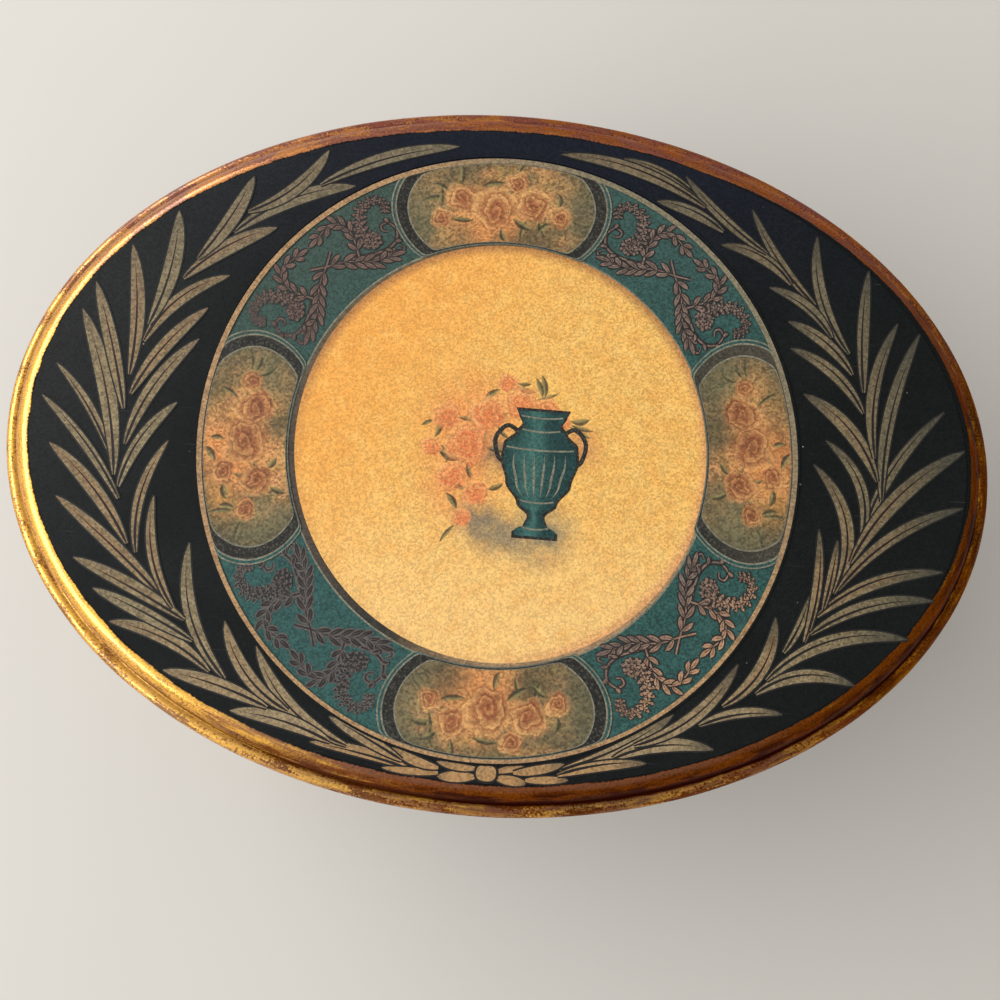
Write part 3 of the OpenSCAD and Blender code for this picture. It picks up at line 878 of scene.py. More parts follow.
# Printed leaves: base and tip on the lid, width and bow, all in millimetres
leafLook = dict(
    widen=0.82, rib=0.8, ribFrom=14.5, ribReach=0.86, thinRib=0.02, outline=0.4, stalk=0.32, rows=14,
    share=0.3, lift=0.03, steps=5, step=0.0005,
)
leftSpray = [
    (0.4, -82.6, -8.8, -83.1, 2.7, 0), (-8.6, -82.3, -22.3, -82, 1.6, 0.2),
    (0.6, -80.6, -9.2, -79.6, 1.7, 0.4), (-8.6, -81.1, -20.2, -77.1, 2.3, 0.7),
    (-17.5, -80, -36, -71, 3.0, 0), (-16, -81.6, -40, -77.3, 2.6, -0.8),
    (-31, -77.5, -55.4, -55.5, 3.4, 3.6), (-35, -77, -60, -71.4, 3.9, -1.5),
    (-46, -70.5, -63.7, -50, 3.6, 3.0), (-51, -70, -77.3, -63, 3.9, -1), (-62, -64, -74.6, -31.5, 3.6, 4),
    (-66, -62.5, -91.8, -52.3, 3.6, -2.5), (-71, -55.5, -96.9, -44.5, 3.4, -0.4),
    (-73.5, -50.5, -102.7, -37.3, 3.6, -0.8), (-76.5, -48, -84.8, -20.4, 2.6, 2.8),
    (-79.5, -45.5, -109.2, -22.3, 3.6, -0.8), (-87.5, -35, -83, -6.2, 2.6, 3.0),
    (-90, -33, -112.7, -9, 4.0, -1.7), (-94, -19, -82, 3.8, 3.2, 2.2), (-93.5, -22, -116.2, 3.1, 2.5, -1.4),
    (-97, -11, -113.8, 11.7, 2.1, -1.5), (-95.5, -16, -109.2, 26.5, 4.8, -2.2),
    (-93.8, -8, -78.5, 20.8, 3.8, 2.6), (-95.3, 1, -106.7, 34, 3.8, -0.5), (-94, 5, -77.2, 29.2, 3.9, 1.8),
    (-95, 10, -98.7, 44.8, 4.0, -1.7), (-92.5, 19, -72.7, 38.3, 3.6, 3.1),
    (-91.8, 23.5, -87.9, 55, 4.8, -2), (-84.5, 36.5, -62, 52.3, 4.6, 1.7),
    (-81.5, 42, -69.5, 66, 4.4, -1.4), (-73, 50, -42.7, 65.5, 4.4, 2.8), (-70, 56, -50.7, 75, 3.9, -2.8),
    (-52, 65, -16.5, 78.8, 3.7, 2.4),
]
rightSpray = [
    (5.2, -82.5, 12.8, -83.2, 2.4, 0), (5.4, -81, 12.2, -79.4, 1.6, 0.1), (9.4, -81, 21.6, -78, 2.2, -0.3),
    (12.4, -82.5, 22.8, -81.7, 1.8, 0), (20, -80.8, 41.3, -76.4, 2.5, 0.8),
    (20.5, -79.5, 47.3, -64.3, 3.2, -1.8), (33, -76, 57.4, -72, 3.5, 2.2),
    (38, -72.5, 62.5, -51, 3.3, -3.4), (53.5, -66.5, 73.8, -62.4, 2.4, 1.7),
    (59, -61.5, 71.3, -38.8, 3.6, -3.4), (67, -58, 91.2, -54.2, 3.4, 3.4),
    (69.5, -54.5, 104.2, -42, 3.8, 4.6), (73.5, -47.5, 79.6, -33, 2.0, -0.8),
    (78.5, -44.5, 81.4, -16, 2.3, -1.4), (80, -42.5, 110.4, -32, 3.2, 3), (81.5, -38, 112.7, -24.6, 3.2, 3),
    (83, -36, 86.2, -18.5, 1.9, -0.3), (85.5, -32, 79.6, 0.4, 3.5, -5.9), (86.5, -31, 117.7, -8, 3.2, 3.4),
    (89.5, -24, 118, 6.7, 4.4, 3.2), (92, -19, 112.7, 16.5, 2.7, 3), (92, -18.5, 82.5, 6.8, 2.9, -4.6),
    (97, -8, 106.2, 36.8, 3.4, 2.8), (95.8, -3, 76.5, 18.5, 4.4, -3.1), (95, 3, 100.5, 39.2, 3.3, 3.2),
    (92, 14.5, 72.8, 30.4, 3.3, -2.7), (92, 20, 92.7, 53, 3.2, 0.8), (89, 24.5, 72, 37.5, 3.3, -2),
    (88, 30, 79, 61.4, 3.3, 3.1), (83.5, 34, 66.8, 46.3, 2.9, -2.4), (79, 42.5, 61.7, 67.5, 2.4, 1.6),
    (72.5, 47.5, 53.8, 57, 3.2, -2.5), (66, 55.5, 43.7, 75.4, 2.6, 1.3),
    (54.3, 60.6, 36.4, 67.7, 3.2, -1.4), (49.3, 67, 10.4, 78.8, 3.5, -3.1), (47, 70, 27, 79, 2.2, -1.6),
]


# Half width along a leaf, 1 at its widest
def bladeWidth(s):
    return (s ** 0.85) * ((1 - s) ** 0.7) / 0.344 if 0 < s < 1 else 0.0


# A strip between two edges; keeps how far along each point lies, and a tone
def addBlade(bm, place, inner, outer, rows, tone=None, columns=1):
    layers = [bm.verts.layers.float.get(name) or bm.verts.layers.float.new(name) for name in ("tip", "tone")]
    for vert in bmesh.ops.create_grid(bm, x_segments=columns, y_segments=rows, size=0.5)["verts"]:
        s, across = vert.co.y + 0.5, vert.co.x + 0.5
        vert.co = place(s, inner(s) * (1 - across) + outer(s) * across)
        vert[layers[0]] = s
        vert[layers[1]] = tone(s, across) if tone else 0.0


# A strip as wide to each side, grown by an outline where one is given
def addStrip(bm, place, half, rows, grow=0.0, tone=None, columns=1):
    addBlade(bm, place, lambda s: -half(s) - grow, lambda s: half(s) + grow, rows, tone, columns)


def bowedLeaf(base, tip, bow, height):
    base, tip = Vector(base), Vector(tip)
    length = (tip - base).length
    ahead = (tip - base) / length
    aside = Vector((-ahead.y, ahead.x))

    def place(s, off):
        centre = base + ahead * length * s + aside * bow * 4 * s * (1 - s)
        slope = (ahead * length + aside * bow * 4 * (1 - 2 * s)).normalized()
        return (centre + Vector((-slope.y, slope.x)) * off).to_3d() + Vector((0, 0, height))

    return place


def addLeaf(bm, inkBm, base, tip, width, bow, height, share, hue):
    look = leafLook
    rib = look["rib"] if math.dist(base, tip) > look["ribFrom"] else look["thinRib"]

    def body(s):
        return width * look["widen"] / 2 * bladeWidth(s) + look["stalk"] * (1 - s)

    def rim(s, side):
        slit = min(body(s) * 0.45, rib / 2 * max(0.0, 1 - s / look["ribReach"]) ** 0.7)
        return body(s) * share + side * slit

    place = bowedLeaf(base, tip, bow, height)
    rows = look["rows"]
    addBlade(bm, place, lambda s: rim(s, 1), body, rows, lambda s, across: hue * (1 - across))
    addBlade(bm, place, lambda s: -body(s), lambda s: rim(s, -1), rows, lambda s, across: hue * across)
    addStrip(inkBm, bowedLeaf(base, tip, bow, height - look["lift"] / 2), body, rows, look["outline"])


def makeSpray(name, leaves, seed):
    look, pick = leafLook, random.Random(seed)
    bm, inkBm = bmesh.new(), bmesh.new()
    for index, (baseX, baseY, tipX, tipY, width, bow) in enumerate(leaves):
        height = look["lift"] * (1 + index % look["steps"]) + look["step"] * index
        share = pick.uniform(-1, 1) * look["share"]
        addLeaf(bm, inkBm, (baseX, baseY), (tipX, tipY), width, bow, height, share, pick.random())
    toPrint(name + "Leaves", bm, inks["leafInk"])
    toPrint(name + "Outline", inkBm, inks["outlineInk"])


makeSpray("leftSpray", leftSpray, 3)
makeSpray("rightSpray", rightSpray, 5)
print("stage: leaf sprays made")


# Medallion: ring, disc and borders, drawn round and then set on the lid
medallion = dict(
    centre=(-0.2, -1.5), scale=(0.9857, 1.0143), shear=-0.005, turn=3.3, ringOuter=76.95, border=1.35,
    borderShift=(0, -0.2), line=0.55, lineShift=(0, 0.25), ringInner=53.9, ringShift=(0.25, -0.67),
    ringLine=0.42, discRadius=53.05, discShift=(0.97, -0.1), tealFrom=50.0, segments=160,
    levels=dict(teal=0.02, band=0.04, disc=0.055, border=0.3, line=0.33),
)


def turned(vector, degrees):
    turn = math.radians(degrees)
    cos, sin = math.cos(turn), math.sin(turn)
    return Vector((vector.x * cos - vector.y * sin, vector.x * sin + vector.y * cos))


def ontoLid(point, height):
    spot = turned(point, medallion["turn"])
    scale, shear, centre = medallion["scale"], medallion["shear"], medallion["centre"]
    x = spot.x * scale[0] + spot.y * shear + centre[0]
    return Vector((x, spot.y * scale[1] + spot.x * shear + centre[1], height))


def ontoRing(turn, radius, height):
    return ontoLid(Vector((radius * math.cos(turn), radius * math.sin(turn))), height)


def settle(name, bm, shift, height, material):
    for vert in bm.verts:
        vert.co = ontoLid(vert.co + Vector((*shift, 0)), height)
    toPrint(name, bm, material)


def makeAnnulus(name, inner, outer, level, shift, material):
    bm = bmesh.new()
    for radius in (inner, outer):
        bmesh.ops.create_circle(bm, cap_ends=False, segments=medallion["segments"], radius=radius)
    bmesh.ops.bridge_loops(bm, edges=bm.edges)
    settle(name, bm, medallion[shift], medallion["levels"][level], material)


def makeMedallion():
    look = medallion
    outer, inner, start = look["ringOuter"], look["ringInner"], look["tealFrom"]
    makeAnnulus("tealRing", start, outer - look["border"] / 2, "teal", "borderShift", inks["tealInk"])
    makeAnnulus("ringBorder", outer - look["border"], outer, "border", "borderShift", inks["borderInk"])
    makeAnnulus("borderLine", outer, outer + look["line"], "line", "lineShift", blackPrint)
    makeAnnulus("innerBand", start, inner, "band", "ringShift", inks["ringInk"])
    makeAnnulus("innerLine", inner, inner + look["ringLine"], "band", "ringShift", inks["paleInk"])
    bm = bmesh.new()
    edge = bm.verts.layers.float.new("edge")
    fan = dict(cap_ends=True, cap_tris=True, segments=look["segments"])
    bmesh.ops.create_circle(bm, radius=look["discRadius"], **fan)
    for vert in bm.verts:
        vert[edge] = vert.co.length / look["discRadius"]
    settle("disc", bm, look["discShift"], look["levels"]["disc"], discInk)


makeMedallion()
print("stage: medallion made")


# Scroll ornament of one eighth of the ring: along the ring from the middle of a quarter, and radius, in mm
scroll = dict(
    sprigs=[
        dict(
            path=[(-3.6, 67.3), (0, 65), (4.8, 62.6), (8.0, 59.8), (11.1, 57.9), (14.6, 57.2)],
            length=3.9, spread=29, start=0.26,
        ),
        dict(
            path=[(8.2, 61.6), (10.4, 66.2), (11.0, 70.2), (8.8, 73.0), (3.6, 72.4)],
            length=3.432, spread=30, start=0.1,
        ),
    ],
    garland=[(12.8, 65.6), (14.6, 69.4), (17.6, 72.4), (21.6, 73.0), (23.2, 71.0), (22.0, 68.9)],
    volute=[
        (4.8, 62.6), (8.4, 61.4), (12.1, 59.9), (15.6, 59.4), (18.6, 60.4), (20.7, 63.0), (20.4, 65.6),
        (18.4, 65.8), (17.7, 64.4), (18.7, 63.6),
    ],
    hook=[(13.4, 59.6), (16.0, 58.2), (17.9, 57.2), (18.9, 57.8), (18.4, 58.9)],
    cluster=(13.6, 63.6), clusterReach=1.75, clusterBloom=1.15, clusterTurn=51.4, blooms=8, garlandBlooms=12,
    petals=5, pairs=7, leafWidth=1.02, stem=0.42, outline=0.38, height=0.065, step=0.001, seed=11,
    spurs=(0.3, 0.42, 0.54, 0.66), spurTurn=-42, spurLength=1.7,
)


def curveThrough(points):
    knots = [Vector(point) for point in points]
    knots = [knots[0] * 2 - knots[1]] + knots + [knots[-1] * 2 - knots[-2]]
    spans = len(knots) - 3

    def at(s):
        t = min(max(s, 0.0), 0.9999) * spans
        index = int(t)
        a, b, c, d = knots[index:index + 4]
        t -= index
        bend = (2 * a - 5 * b + 4 * c - d) * t ** 2 + (3 * b - a - 3 * c + d) * t ** 3
        return 0.5 * (2 * b + (c - a) * t + bend)

    return at


def headingAt(path, s):
    return (path(s + 0.01) - path(s - 0.01)).normalized()


def pathPlace(path, height):
    def place(s, off):
        ahead = headingAt(path, s)
        return (path(s) + Vector((-ahead.y, ahead.x)) * off).to_3d() + Vector((0, 0, height))

    return place


# Each strip lies a hair above the one before, so that its outline shows
def addOutlined(layers, placeAt, half, rows, apart=None):
    bm, inkBm, count = layers
    height = scroll["height"] + scroll["step"] * next(count)
    if apart:
        addBlade(bm, placeAt(height), apart, half, rows)
        addBlade(bm, placeAt(height), lambda s: -half(s), lambda s: -apart(s), rows)
    else:
        addStrip(bm, placeAt(height), half, rows)
    addStrip(inkBm, placeAt(height - scroll["step"] / 2), half, rows, scroll["outline"])


def addStem(layers, path, width, rows=22):
    addOutlined(layers, lambda height: pathPlace(path, height), lambda s: width / 2 * (1 - 0.45 * s), rows)


def addSmallLeaf(layers, base, tip, width, bow, rows=5, slit=0.12):
    def half(s):
        return width / 2 * bladeWidth(s) + 0.04

    def apart(s):
        return min(half(s) * 0.6, slit * max(0.0, 1 - s / 0.8))

    addOutlined(layers, lambda height: bowedLeaf(base, tip, bow, height), half, rows, apart if slit else None)


def addSprig(layers, look):
    path, length, start = curveThrough(look["path"]), look["length"], look["start"]
    pairs, width = scroll["pairs"], scroll["leafWidth"]
    addStem(layers, path, scroll["stem"])
    for index in range(pairs):
        s = start + (0.96 - start) * index / (pairs - 1)
        base, ahead = path(s), headingAt(path, s)
        reach = length * (1.0 - 0.35 * abs(s - 0.45))
        for side in (-1, 1):
            way = turned(ahead, side * (look["spread"] + 9 * math.sin(2.4 * index + side)))
            addSmallLeaf(layers, base, base + way * reach, width, side * 0.25)
    end = path(1.0)
    addSmallLeaf(layers, end, end + headingAt(path, 0.98) * length, width, 0.1)


def addRosette(layers, centre, radius, turn):
    for index in range(scroll["petals"]):
        way = turned(Vector((1, 0)), turn + 360 * index / scroll["petals"])
        addSmallLeaf(layers, centre + way * radius * 0.12, centre + way * radius, radius * 0.8, 0, 3, 0.0)


def addEighth(layers):
    look, pick = scroll, random.Random(scroll["seed"])
    share = 360 / look["petals"]
    volute, garland = curveThrough(look["volute"]), curveThrough(look["garland"])
    addStem(layers, volute, look["stem"] * 1.25, 40)
    addStem(layers, curveThrough(look["hook"]), look["stem"], 16)
    for sprig in look["sprigs"]:
        addSprig(layers, sprig)
    for index in range(look["garlandBlooms"]):
        s = index / (look["garlandBlooms"] - 1)
        wide, centre, ahead = 1.35 - 0.6 * s, garland(s), headingAt(garland, s)
        for flank in (-1, 1):
            base = centre + turned(ahead, 90 * flank) * wide * 0.45
            tip = base + turned(ahead, flank * pick.uniform(48, 80)) * wide * 1.15
            addSmallLeaf(layers, base, tip, wide * 0.62, 0, 3, 0.05)
        addRosette(layers, centre, wide * 0.95, pick.uniform(0, share))
    for index in range(look["blooms"]):
        way = turned(Vector((1, 0)), look["clusterTurn"] * index) * (look["clusterReach"] if index else 0.0)
        addRosette(layers, Vector(look["cluster"]) + way, look["clusterBloom"], pick.uniform(0, share))
    for s in look["spurs"]:
        base = volute(s)
        tip = base + turned(headingAt(volute, s), look["spurTurn"]) * look["spurLength"]
        addSmallLeaf(layers, base, tip, 0.7, 0.2, 4, 0.05)


def addCopy(whole, part):
    mesh = bpy.data.meshes.new("passing")
    part.to_mesh(mesh)
    part.free()
    whole.from_mesh(mesh)
    bpy.data.meshes.remove(mesh)


def bendCopies(flat, name, material):
    whole = bmesh.new()
    for bisector in (45, 135, 225, 315):
        for side in (-1, 1):
            bent = flat.copy()
            for vert in bent.verts:
                turn = math.radians(bisector) + side * vert.co.x / vert.co.y
                vert.co = ontoRing(turn, vert.co.y, vert.co.z + side * scroll["step"] / 8)
            addCopy(whole, bent)
    flat.free()
    toPrint(name, whole, material)


def makeScrolls():
    bm, inkBm = bmesh.new(), bmesh.new()
    addEighth((bm, inkBm, itertools.count()))
    bendCopies(bm, "scrollLeaves", inks["scrollInk"])
    bendCopies(inkBm, "scrollOutline", inks["scrollShade"])


makeScrolls()
print("stage: scroll ornament made")


# Cartouches: rounded fields bent along the ring, inside a run of frames given as (growth, reach, height)
cartouche = dict(
    angles=(90, 180.9, 270, 0.2), spans=(24.4, 25.0, 24.2, 24.4), rises=(16.5, 15.5, 15.5, 16.0),
    middles=(63.2, 63.8, 65.0, 64.3), innerStops=(53.9, 54.4, 54.8, 54.2), outerStop=75.2, soft=0.9,
    fullness=2.1, columns=32, rows=24,
    frames=dict(
        Pale=(4.3, 0.75, 0.25), Gap=(3.95, 0.65, 0.255), Line=(3.35, 0.55, 0.26), Band=(2.95, 0.45, 0.265),
        Rim=(0.35, 0.12, 0.27), Field=(0.0, 0.0, 0.275),
    ),
)


# Past a stop the radius is held back softly, so that the oval ends against it
def heldBack(value, stop):
    soft = cartouche["soft"]
    start = stop - soft
    return value if value < start else stop - soft * math.exp((start - value) / soft)


# A square grid drawn in to an oval field, with its place in the field kept for the painting
def addField(bm, index, grow, reach, height):
    look = cartouche
    layer = bm.loops.layers.uv.verify()
    edge = bm.verts.layers.float.get("edge") or bm.verts.layers.float.new("edge")
    made = bmesh.ops.create_grid(bm, x_segments=look["columns"], y_segments=look["rows"], size=1)["verts"]
    power, middle, mirror = look["fullness"], look["middles"][index], 1 if index < 2 else -1
    for vert in made:
        x, y = abs(vert.co.x), abs(vert.co.y)
        vert[edge] = max(x, y)
        vert.co *= vert[edge] / (x ** power + y ** power) ** (1 / power) if vert[edge] else 1
        vert.co.x *= look["spans"][index] + grow
        vert.co.y *= look["rises"][index] + grow
    for face in {face for vert in made for face in vert.link_faces}:
        for loop in face.loops:
            loop[layer].uv = (loop.vert.co.x * mirror * mm, loop.vert.co.y * mm)
    for vert in made:
        turn = math.radians(look["angles"][index]) - vert.co.x / middle
        radius = heldBack(middle + vert.co.y, look["outerStop"] + reach)
        radius = -heldBack(-radius, reach - look["innerStops"][index])
        vert.co = ontoRing(turn, radius, height)


def makeCartouches():
    frameInks = dict(Pale="paleInk", Gap="tealInk", Line="paleInk", Band="bandInk", Rim="paleInk")
    for label, sizes in cartouche["frames"].items():
        for pair, side in enumerate(("Fore", "Side")):
            bm = bmesh.new()
            for index in (pair, pair + 2):
                addField(bm, index, *sizes)
            ink = inks[frameInks[label]] if label in frameInks else fieldInks[pair]
            toPrint("cartouche" + label + side, bm, ink)


makeCartouches()
print("stage: cartouches made")


# Urn in the middle of the disc: half widths from foot to mouth, in millimetres
urn = dict(
    foot=(10.4, -23.5), top=(10.6, 8.5), rim=0.7, handleHalf=0.55, lineHalf=0.22, lineInset=0.3, lineBow=-0.5,
    fluteHalf=0.3, height=0.13, rimHeight=0.11, handleHeight=0.1, lineHeight=0.145, shine=(0.64, 0.2),
    widths=[
        (0, 5.0), (0.05, 5.0), (0.09, 2.4), (0.17, 1.5), (0.26, 4.4), (0.42, 7.6), (0.6, 9.2), (0.72, 8.8),
        (0.82, 5.8), (0.88, 4.4), (0.94, 5.4), (1.0, 6.2),
    ],
    handle=((5.2, 2.6), (8.6, 4.4), (11.4, 1.0), (10.6, -3.6), (8.8, -5.2)),
    lines=(0.07, 0.28, 0.7, 0.85, 0.96), flutes=(-0.72, -0.42, -0.14, 0.14, 0.42, 0.72),
    fluteLevels=(0.3, 0.38, 0.46, 0.56, 0.66),
)


def urnHalf(s):
    levels = urn["widths"]
    for (low, first), (high, second) in zip(levels, levels[1:]):
        if s <= high:
            t = (s - low) / (high - low)
            return first + (second - first) * t * t * (3 - 2 * t)
    return levels[-1][1]


def makeUrn():
    look = urn
    (footX, footY), (topX, topY), rim = look["foot"], look["top"], look["rim"]
    bm, inkBm, lineBm = bmesh.new(), bmesh.new(), bmesh.new()

    def shine(s, across):
        return math.exp(-((across - look["shine"][0]) / look["shine"][1]) ** 2)

    def levelAt(s):
        return footY + (topY - footY) * s

    def fluteHalf(t):
        return look["fluteHalf"] * math.sin(math.pi * t)

    addStrip(bm, bowedLeaf(look["foot"], look["top"], 0, look["height"]), urnHalf, 60, 0.0, shine, 8)
    outside = bowedLeaf((footX, footY - rim), (topX, topY + rim), 0, look["rimHeight"])
    addStrip(inkBm, outside, urnHalf, 60, rim)
    for side in (-1, 1):
        handle = curveThrough([(footX + side * x, y) for x, y in look["handle"]])
        addStrip(inkBm, pathPlace(handle, look["handleHeight"]), lambda s: look["handleHalf"], 24)
    for s in look["lines"]:
        wide = urnHalf(s) - look["lineInset"]
        ends = [(footX + side * wide, levelAt(s)) for side in (-1, 1)]
        band = bowedLeaf(*ends, look["lineBow"], look["lineHeight"])
        addStrip(lineBm, band, lambda t: look["lineHalf"], 10)
    for across in look["flutes"]:
        flute = curveThrough([(footX + across * urnHalf(s), levelAt(s)) for s in look["fluteLevels"]])
        addStrip(lineBm, pathPlace(flute, look["lineHeight"]), fluteHalf, 14)
    toPrint("urn", bm, inks["urnInk"])
    toPrint("urnEdge", inkBm, inks["bandInk"])
    toPrint("urnLines", lineBm, inks["paleInk"])


# Small tie where the two sprays meet
tie = dict(centre=(2.9, -81.5), halves=(2.4, 1.9), edge=0.55, fullness=2.6, height=0.2, drop=0.02)


def makeTie():
    power = tie["fullness"]
    layers = (("tie", 0.0, 0.0, "leafInk"), ("tieOutline", tie["edge"], tie["drop"], "outlineInk"))
    for name, grow, drop, ink in layers:
        bm = bmesh.new()
        bmesh.ops.create_circle(bm, cap_ends=True, cap_tris=True, segments=40, radius=1)
        for vert in bm.verts:
            sides = abs(vert.co.x) ** power + abs(vert.co.y) ** power
            vert.co *= sides ** (-1 / power) if sides else 1
        bmesh.ops.scale(bm, vec=(*(half + grow for half in tie["halves"]), 1), verts=bm.verts)
        bmesh.ops.translate(bm, vec=(*tie["centre"], tie["height"] - drop), verts=bm.verts)
        toPrint(name, bm, inks[ink])


makeUrn()
makeTie()
print("stage: urn and tie made")


# Velvet linings and the mirror's frame: sections carried round the oval
lining = dict(
    thickness=1.5, roll=0.75, tuck=0.03, sway=0.12, padEdge=0.7, padWidth=21.0, padFill=0.4, segments=160,
)
# The mirror frame's section: (inset, share of the height, dark glaze and painted shade)
mirrorRim = dict(
    crease=50,
    section=[
        (0.05, 1.0, 0.5), (0.05, 0.62, 0.1), (0.3, 0.4, 0), (0.8, 0.22, 0), (1.4, 0.14, 0), (1.7, 0.2, 0.9),
        (1.9, 0.08, 0), (2.4, 0.0, 0), (2.9, 0.08, 0), (3.1, 0.2, 0.9), (3.5, 0.3, 0.2), (4.3, 0.46, 0),
        (4.9, 0.62, 0.3), (5.0, 0.685, 0.6), (3.1, 0.685, 0.6), (3.1, 1.0, 0.6),
    ],
)


def levelsOf(node):
    return [corner.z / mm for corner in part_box(node)]


def roundedBand(low, high):
    width, tuck, roll = lining["thickness"], lining["tuck"], lining["roll"]
    rows = [(tuck, low, 0), (tuck, high - roll, 0)]
    for step in range(1, 11):
        turn = math.radians(18 * step)
        rows.append((width / 2 - (width / 2 - tuck) * math.cos(turn), high - roll + roll * math.sin(turn), 0))
    return rows + [(width - tuck, high - (high - low) * share, 0) for share in (0.2, 0.4, 0.6, 0.8, 1.0)]


# Half the pad's section, from its outer edge to the middle of its width, and the same mirrored
def padRows(low, high):
    width, edge = lining["padWidth"], lining["padEdge"]
    half = [(0, high), (0, high - 0.5), (edge * 0.4, low + 0.45), (edge, low + 0.15), (3.0, low)]
    other = [(width - inset, height) for inset, height in reversed(half)]
    return [(inset, height, 0) for inset, height in half + [(width / 2, low - 0.05)] + other]


def makeBand(name, node, rows, material, body, sway=0.0):
    bm = loftOval(rows, halvesOf(node), lining["segments"])
    for vert in bm.verts:
        vert.co += Vector((vert.co.x, vert.co.y, 0)).normalized() * noise.noise(vert.co * 0.16) * sway
    toMetres(bm)
    piece = toPiece(name, bm, material, body, smooth=True)
    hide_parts(node)
    return piece


def makeLinings():
    rows = roundedBand(*levelsOf("wall_lining"))
    makeBand("wallVelvet", "wall_lining", rows, wineVelvet, "box", lining["sway"])
    rows = padRows(*levelsOf("lid_lining"))
    pad = makeBand("lidVelvet", "lid_lining", rows, wineVelvet, "lid", lining["sway"])
    low, high = levelsOf("mirror_frame")
    rows = [(inset, low + (high - low) * share, sunkAndShade) for inset, share, sunkAndShade in mirrorRim["section"]]
    rim = makeBand("mirrorRim", "mirror_frame", rows, frameGilt, "lid")
    rim.data.set_sharp_from_angle(angle=math.radians(mirrorRim["crease"]))


makeLinings()
print("stage: linings made")


# Cushions, swollen by cloth
cushion = dict(
    clearance=0.9, rise=0.62, voxel=3.0, pressure=3.0, quality=4, frames=18, cap=2.6, sideCap=0.5, fill=0.6,
    segments=120,
)


def swell(piece):
    frames = cushion["frames"]
    cloth = piece.modifiers.new("cloth", "CLOTH")
    cloth.settings.use_pressure = True
    cloth.settings.uniform_pressure_force = cushion["pressure"]
    cloth.settings.effector_weights.gravity = 0
    cloth.settings.quality = cushion["quality"]
    cloth.point_cache.frame_start, cloth.point_cache.frame_end = 1, frames
    before = [vert.co.copy() for vert in piece.data.vertices]
    for number in range(1, frames + 1):
        bpy.context.scene.frame_set(number)
    shown = piece.evaluated_get(bpy.context.evaluated_depsgraph_get())
    after = [vert.co.copy() for vert in shown.data.vertices]
    piece.modifiers.remove(cloth)
    bpy.context.scene.frame_set(1)
    return before, after


# A half oval block between the wall's lining and a divider, remeshed for the cloth
def cushionBlock(low, high):
    look, gap = cushion, cushion["clearance"]
    reach = [(half - lining["thickness"] - gap) * mm for half in halvesOf("wall_lining")]
    bm = bmesh.new()
    bmesh.ops.create_circle(bm, cap_ends=True, segments=look["segments"], radius=1)
    bmesh.ops.scale(bm, vec=(*reach, 1), verts=bm.verts)
    cut = dict(plane_co=(low.x + gap * mm * 0.7, 0, 0), plane_no=(1, 0, 0), clear_inner=True)
    bmesh.ops.bisect_plane(bm, geom=bm.verts[:] + bm.edges[:] + bm.faces[:], **cut)
    raised = bmesh.ops.extrude_face_region(bm, geom=bm.faces[:])["geom"]
    top = only(raised, bmesh.types.BMVert)
    bmesh.ops.translate(bm, vec=(0, 0, (high.z - low.z) * look["rise"]), verts=top)
    bmesh.ops.translate(bm, vec=(0, 0, low.z), verts=bm.verts)
    bmesh.ops.recalc_face_normals(bm, faces=bm.faces)
    draft = toObject("cushionDraft", bm)
    remesh = draft.modifiers.new("remesh", "REMESH")
    remesh.mode, remesh.voxel_size = "VOXEL", look["voxel"] * mm
    mesh = bpy.data.meshes.new_from_object(draft.evaluated_get(bpy.context.evaluated_depsgraph_get()))
    bpy.data.objects.remove(draft)
    return mesh


def makeCushions():
    low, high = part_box("cushion_right")
    cap, sideCap = cushion["cap"] * mm, cushion["sideCap"] * mm
    mesh = cushionBlock(low, high)
    right = addObject("cushionRight", mesh)
    for vert, start, end in zip(mesh.vertices, *swell(right)):
        push = end - start
        flat = Vector((push.x, push.y, 0))
        if flat.length > sideCap:
            flat *= sideCap / flat.length
        spot = start + flat + Vector((0, 0, max(min(push.z, cap), -cap)))
        spot.z = max(spot.z, low.z)
        vert.co = spot
    mesh.materials.append(wineVelvet)
    mesh.shade_smooth()
    left = addObject("cushionLeft", mesh.copy())
    left.data.transform(Matrix.Scale(-1, 4, (1, 0, 0)))
    left.data.flip_normals()
    for piece, node in ((right, "cushion_right"), (left, "cushion_left")):
        soften(piece)
        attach(piece, "box")
        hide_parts(node)


# The row of ring rolls: stuffed tubes with rounded, gathered ends
rolls = dict(
    count=8, gap=0.2, segments=36, cuts=30, endRound=3.2, wave=0.22, crease=0.35, insets=3, inset=0.22,
    fill=0.8,
)


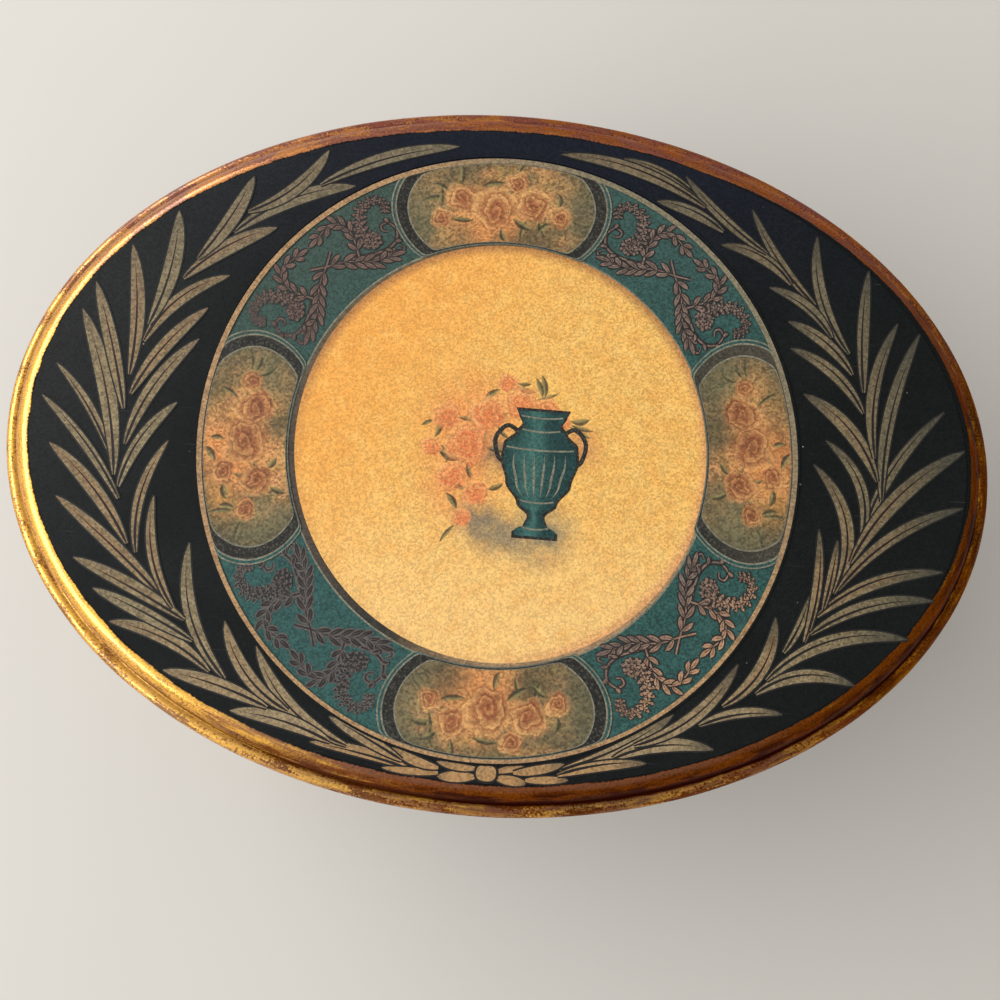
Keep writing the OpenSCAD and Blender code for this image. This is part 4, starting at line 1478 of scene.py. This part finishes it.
def makeRoll(index, radius, length):
    look = rolls
    bm = bmesh.new()
    tube = dict(segments=look["segments"], radius1=radius, radius2=radius, depth=length)
    bmesh.ops.create_cone(bm, cap_ends=True, **tube)
    long = [edge for edge in bm.edges if edge.calc_length() > length / 2]
    bmesh.ops.subdivide_edges(bm, edges=long, cuts=look["cuts"])
    bmesh.ops.rotate(bm, cent=(0, 0, 0), matrix=Matrix.Rotation(math.radians(90), 3, "Y"), verts=bm.verts)
    ends = [face for face in bm.faces if abs(face.normal.x) > 0.9]
    for _ in range(look["insets"]):
        bmesh.ops.inset_region(bm, faces=ends, thickness=radius * look["inset"])
    for vert in bm.verts:
        near = length / 2 - abs(vert.co.x)
        across = math.hypot(vert.co.y, vert.co.z)
        if near < look["endRound"]:
            share = 1 - near / look["endRound"]
            keep = math.sqrt(max(0.0, 1 - share * share * 0.45))
            vert.co.y *= keep
            vert.co.z *= keep
        if near < 0.01:
            vert.co.x -= math.copysign(look["crease"] * 2.5 * max(0.0, across / radius - 0.3), vert.co.x)
        sway = noise.noise(Vector((vert.co.x * 0.12, vert.co.y * 0.1 + 7 * index, vert.co.z * 0.1)))
        ripple = 1 + look["wave"] / radius * sway
        vert.co.y *= min(ripple, 1.0)
        vert.co.z *= ripple
    return bm


def makeRolls():
    low, high = (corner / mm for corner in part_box("ring_rolls"))
    pitch = (high.y - low.y) / rolls["count"]
    radius = pitch / 2 - rolls["gap"]
    whole = bmesh.new()
    for index in range(rolls["count"]):
        bm = makeRoll(index, radius, high.x - low.x)
        place = ((low.x + high.x) / 2, low.y + pitch * (index + 0.5), high.z - radius)
        bmesh.ops.translate(bm, vec=place, verts=bm.verts)
        for vert in bm.verts:
            vert.co.z = max(vert.co.z, low.z)
        addCopy(whole, bm)
    toMetres(whole)
    bmesh.ops.recalc_face_normals(whole, faces=whole.faces)
    piece = toPiece("ringRolls", whole, wineVelvet, "box", smooth=True)
    soften(piece)
    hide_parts("ring_rolls")


makeCushions()
makeRolls()
print("stage: cushions and ring rolls made")
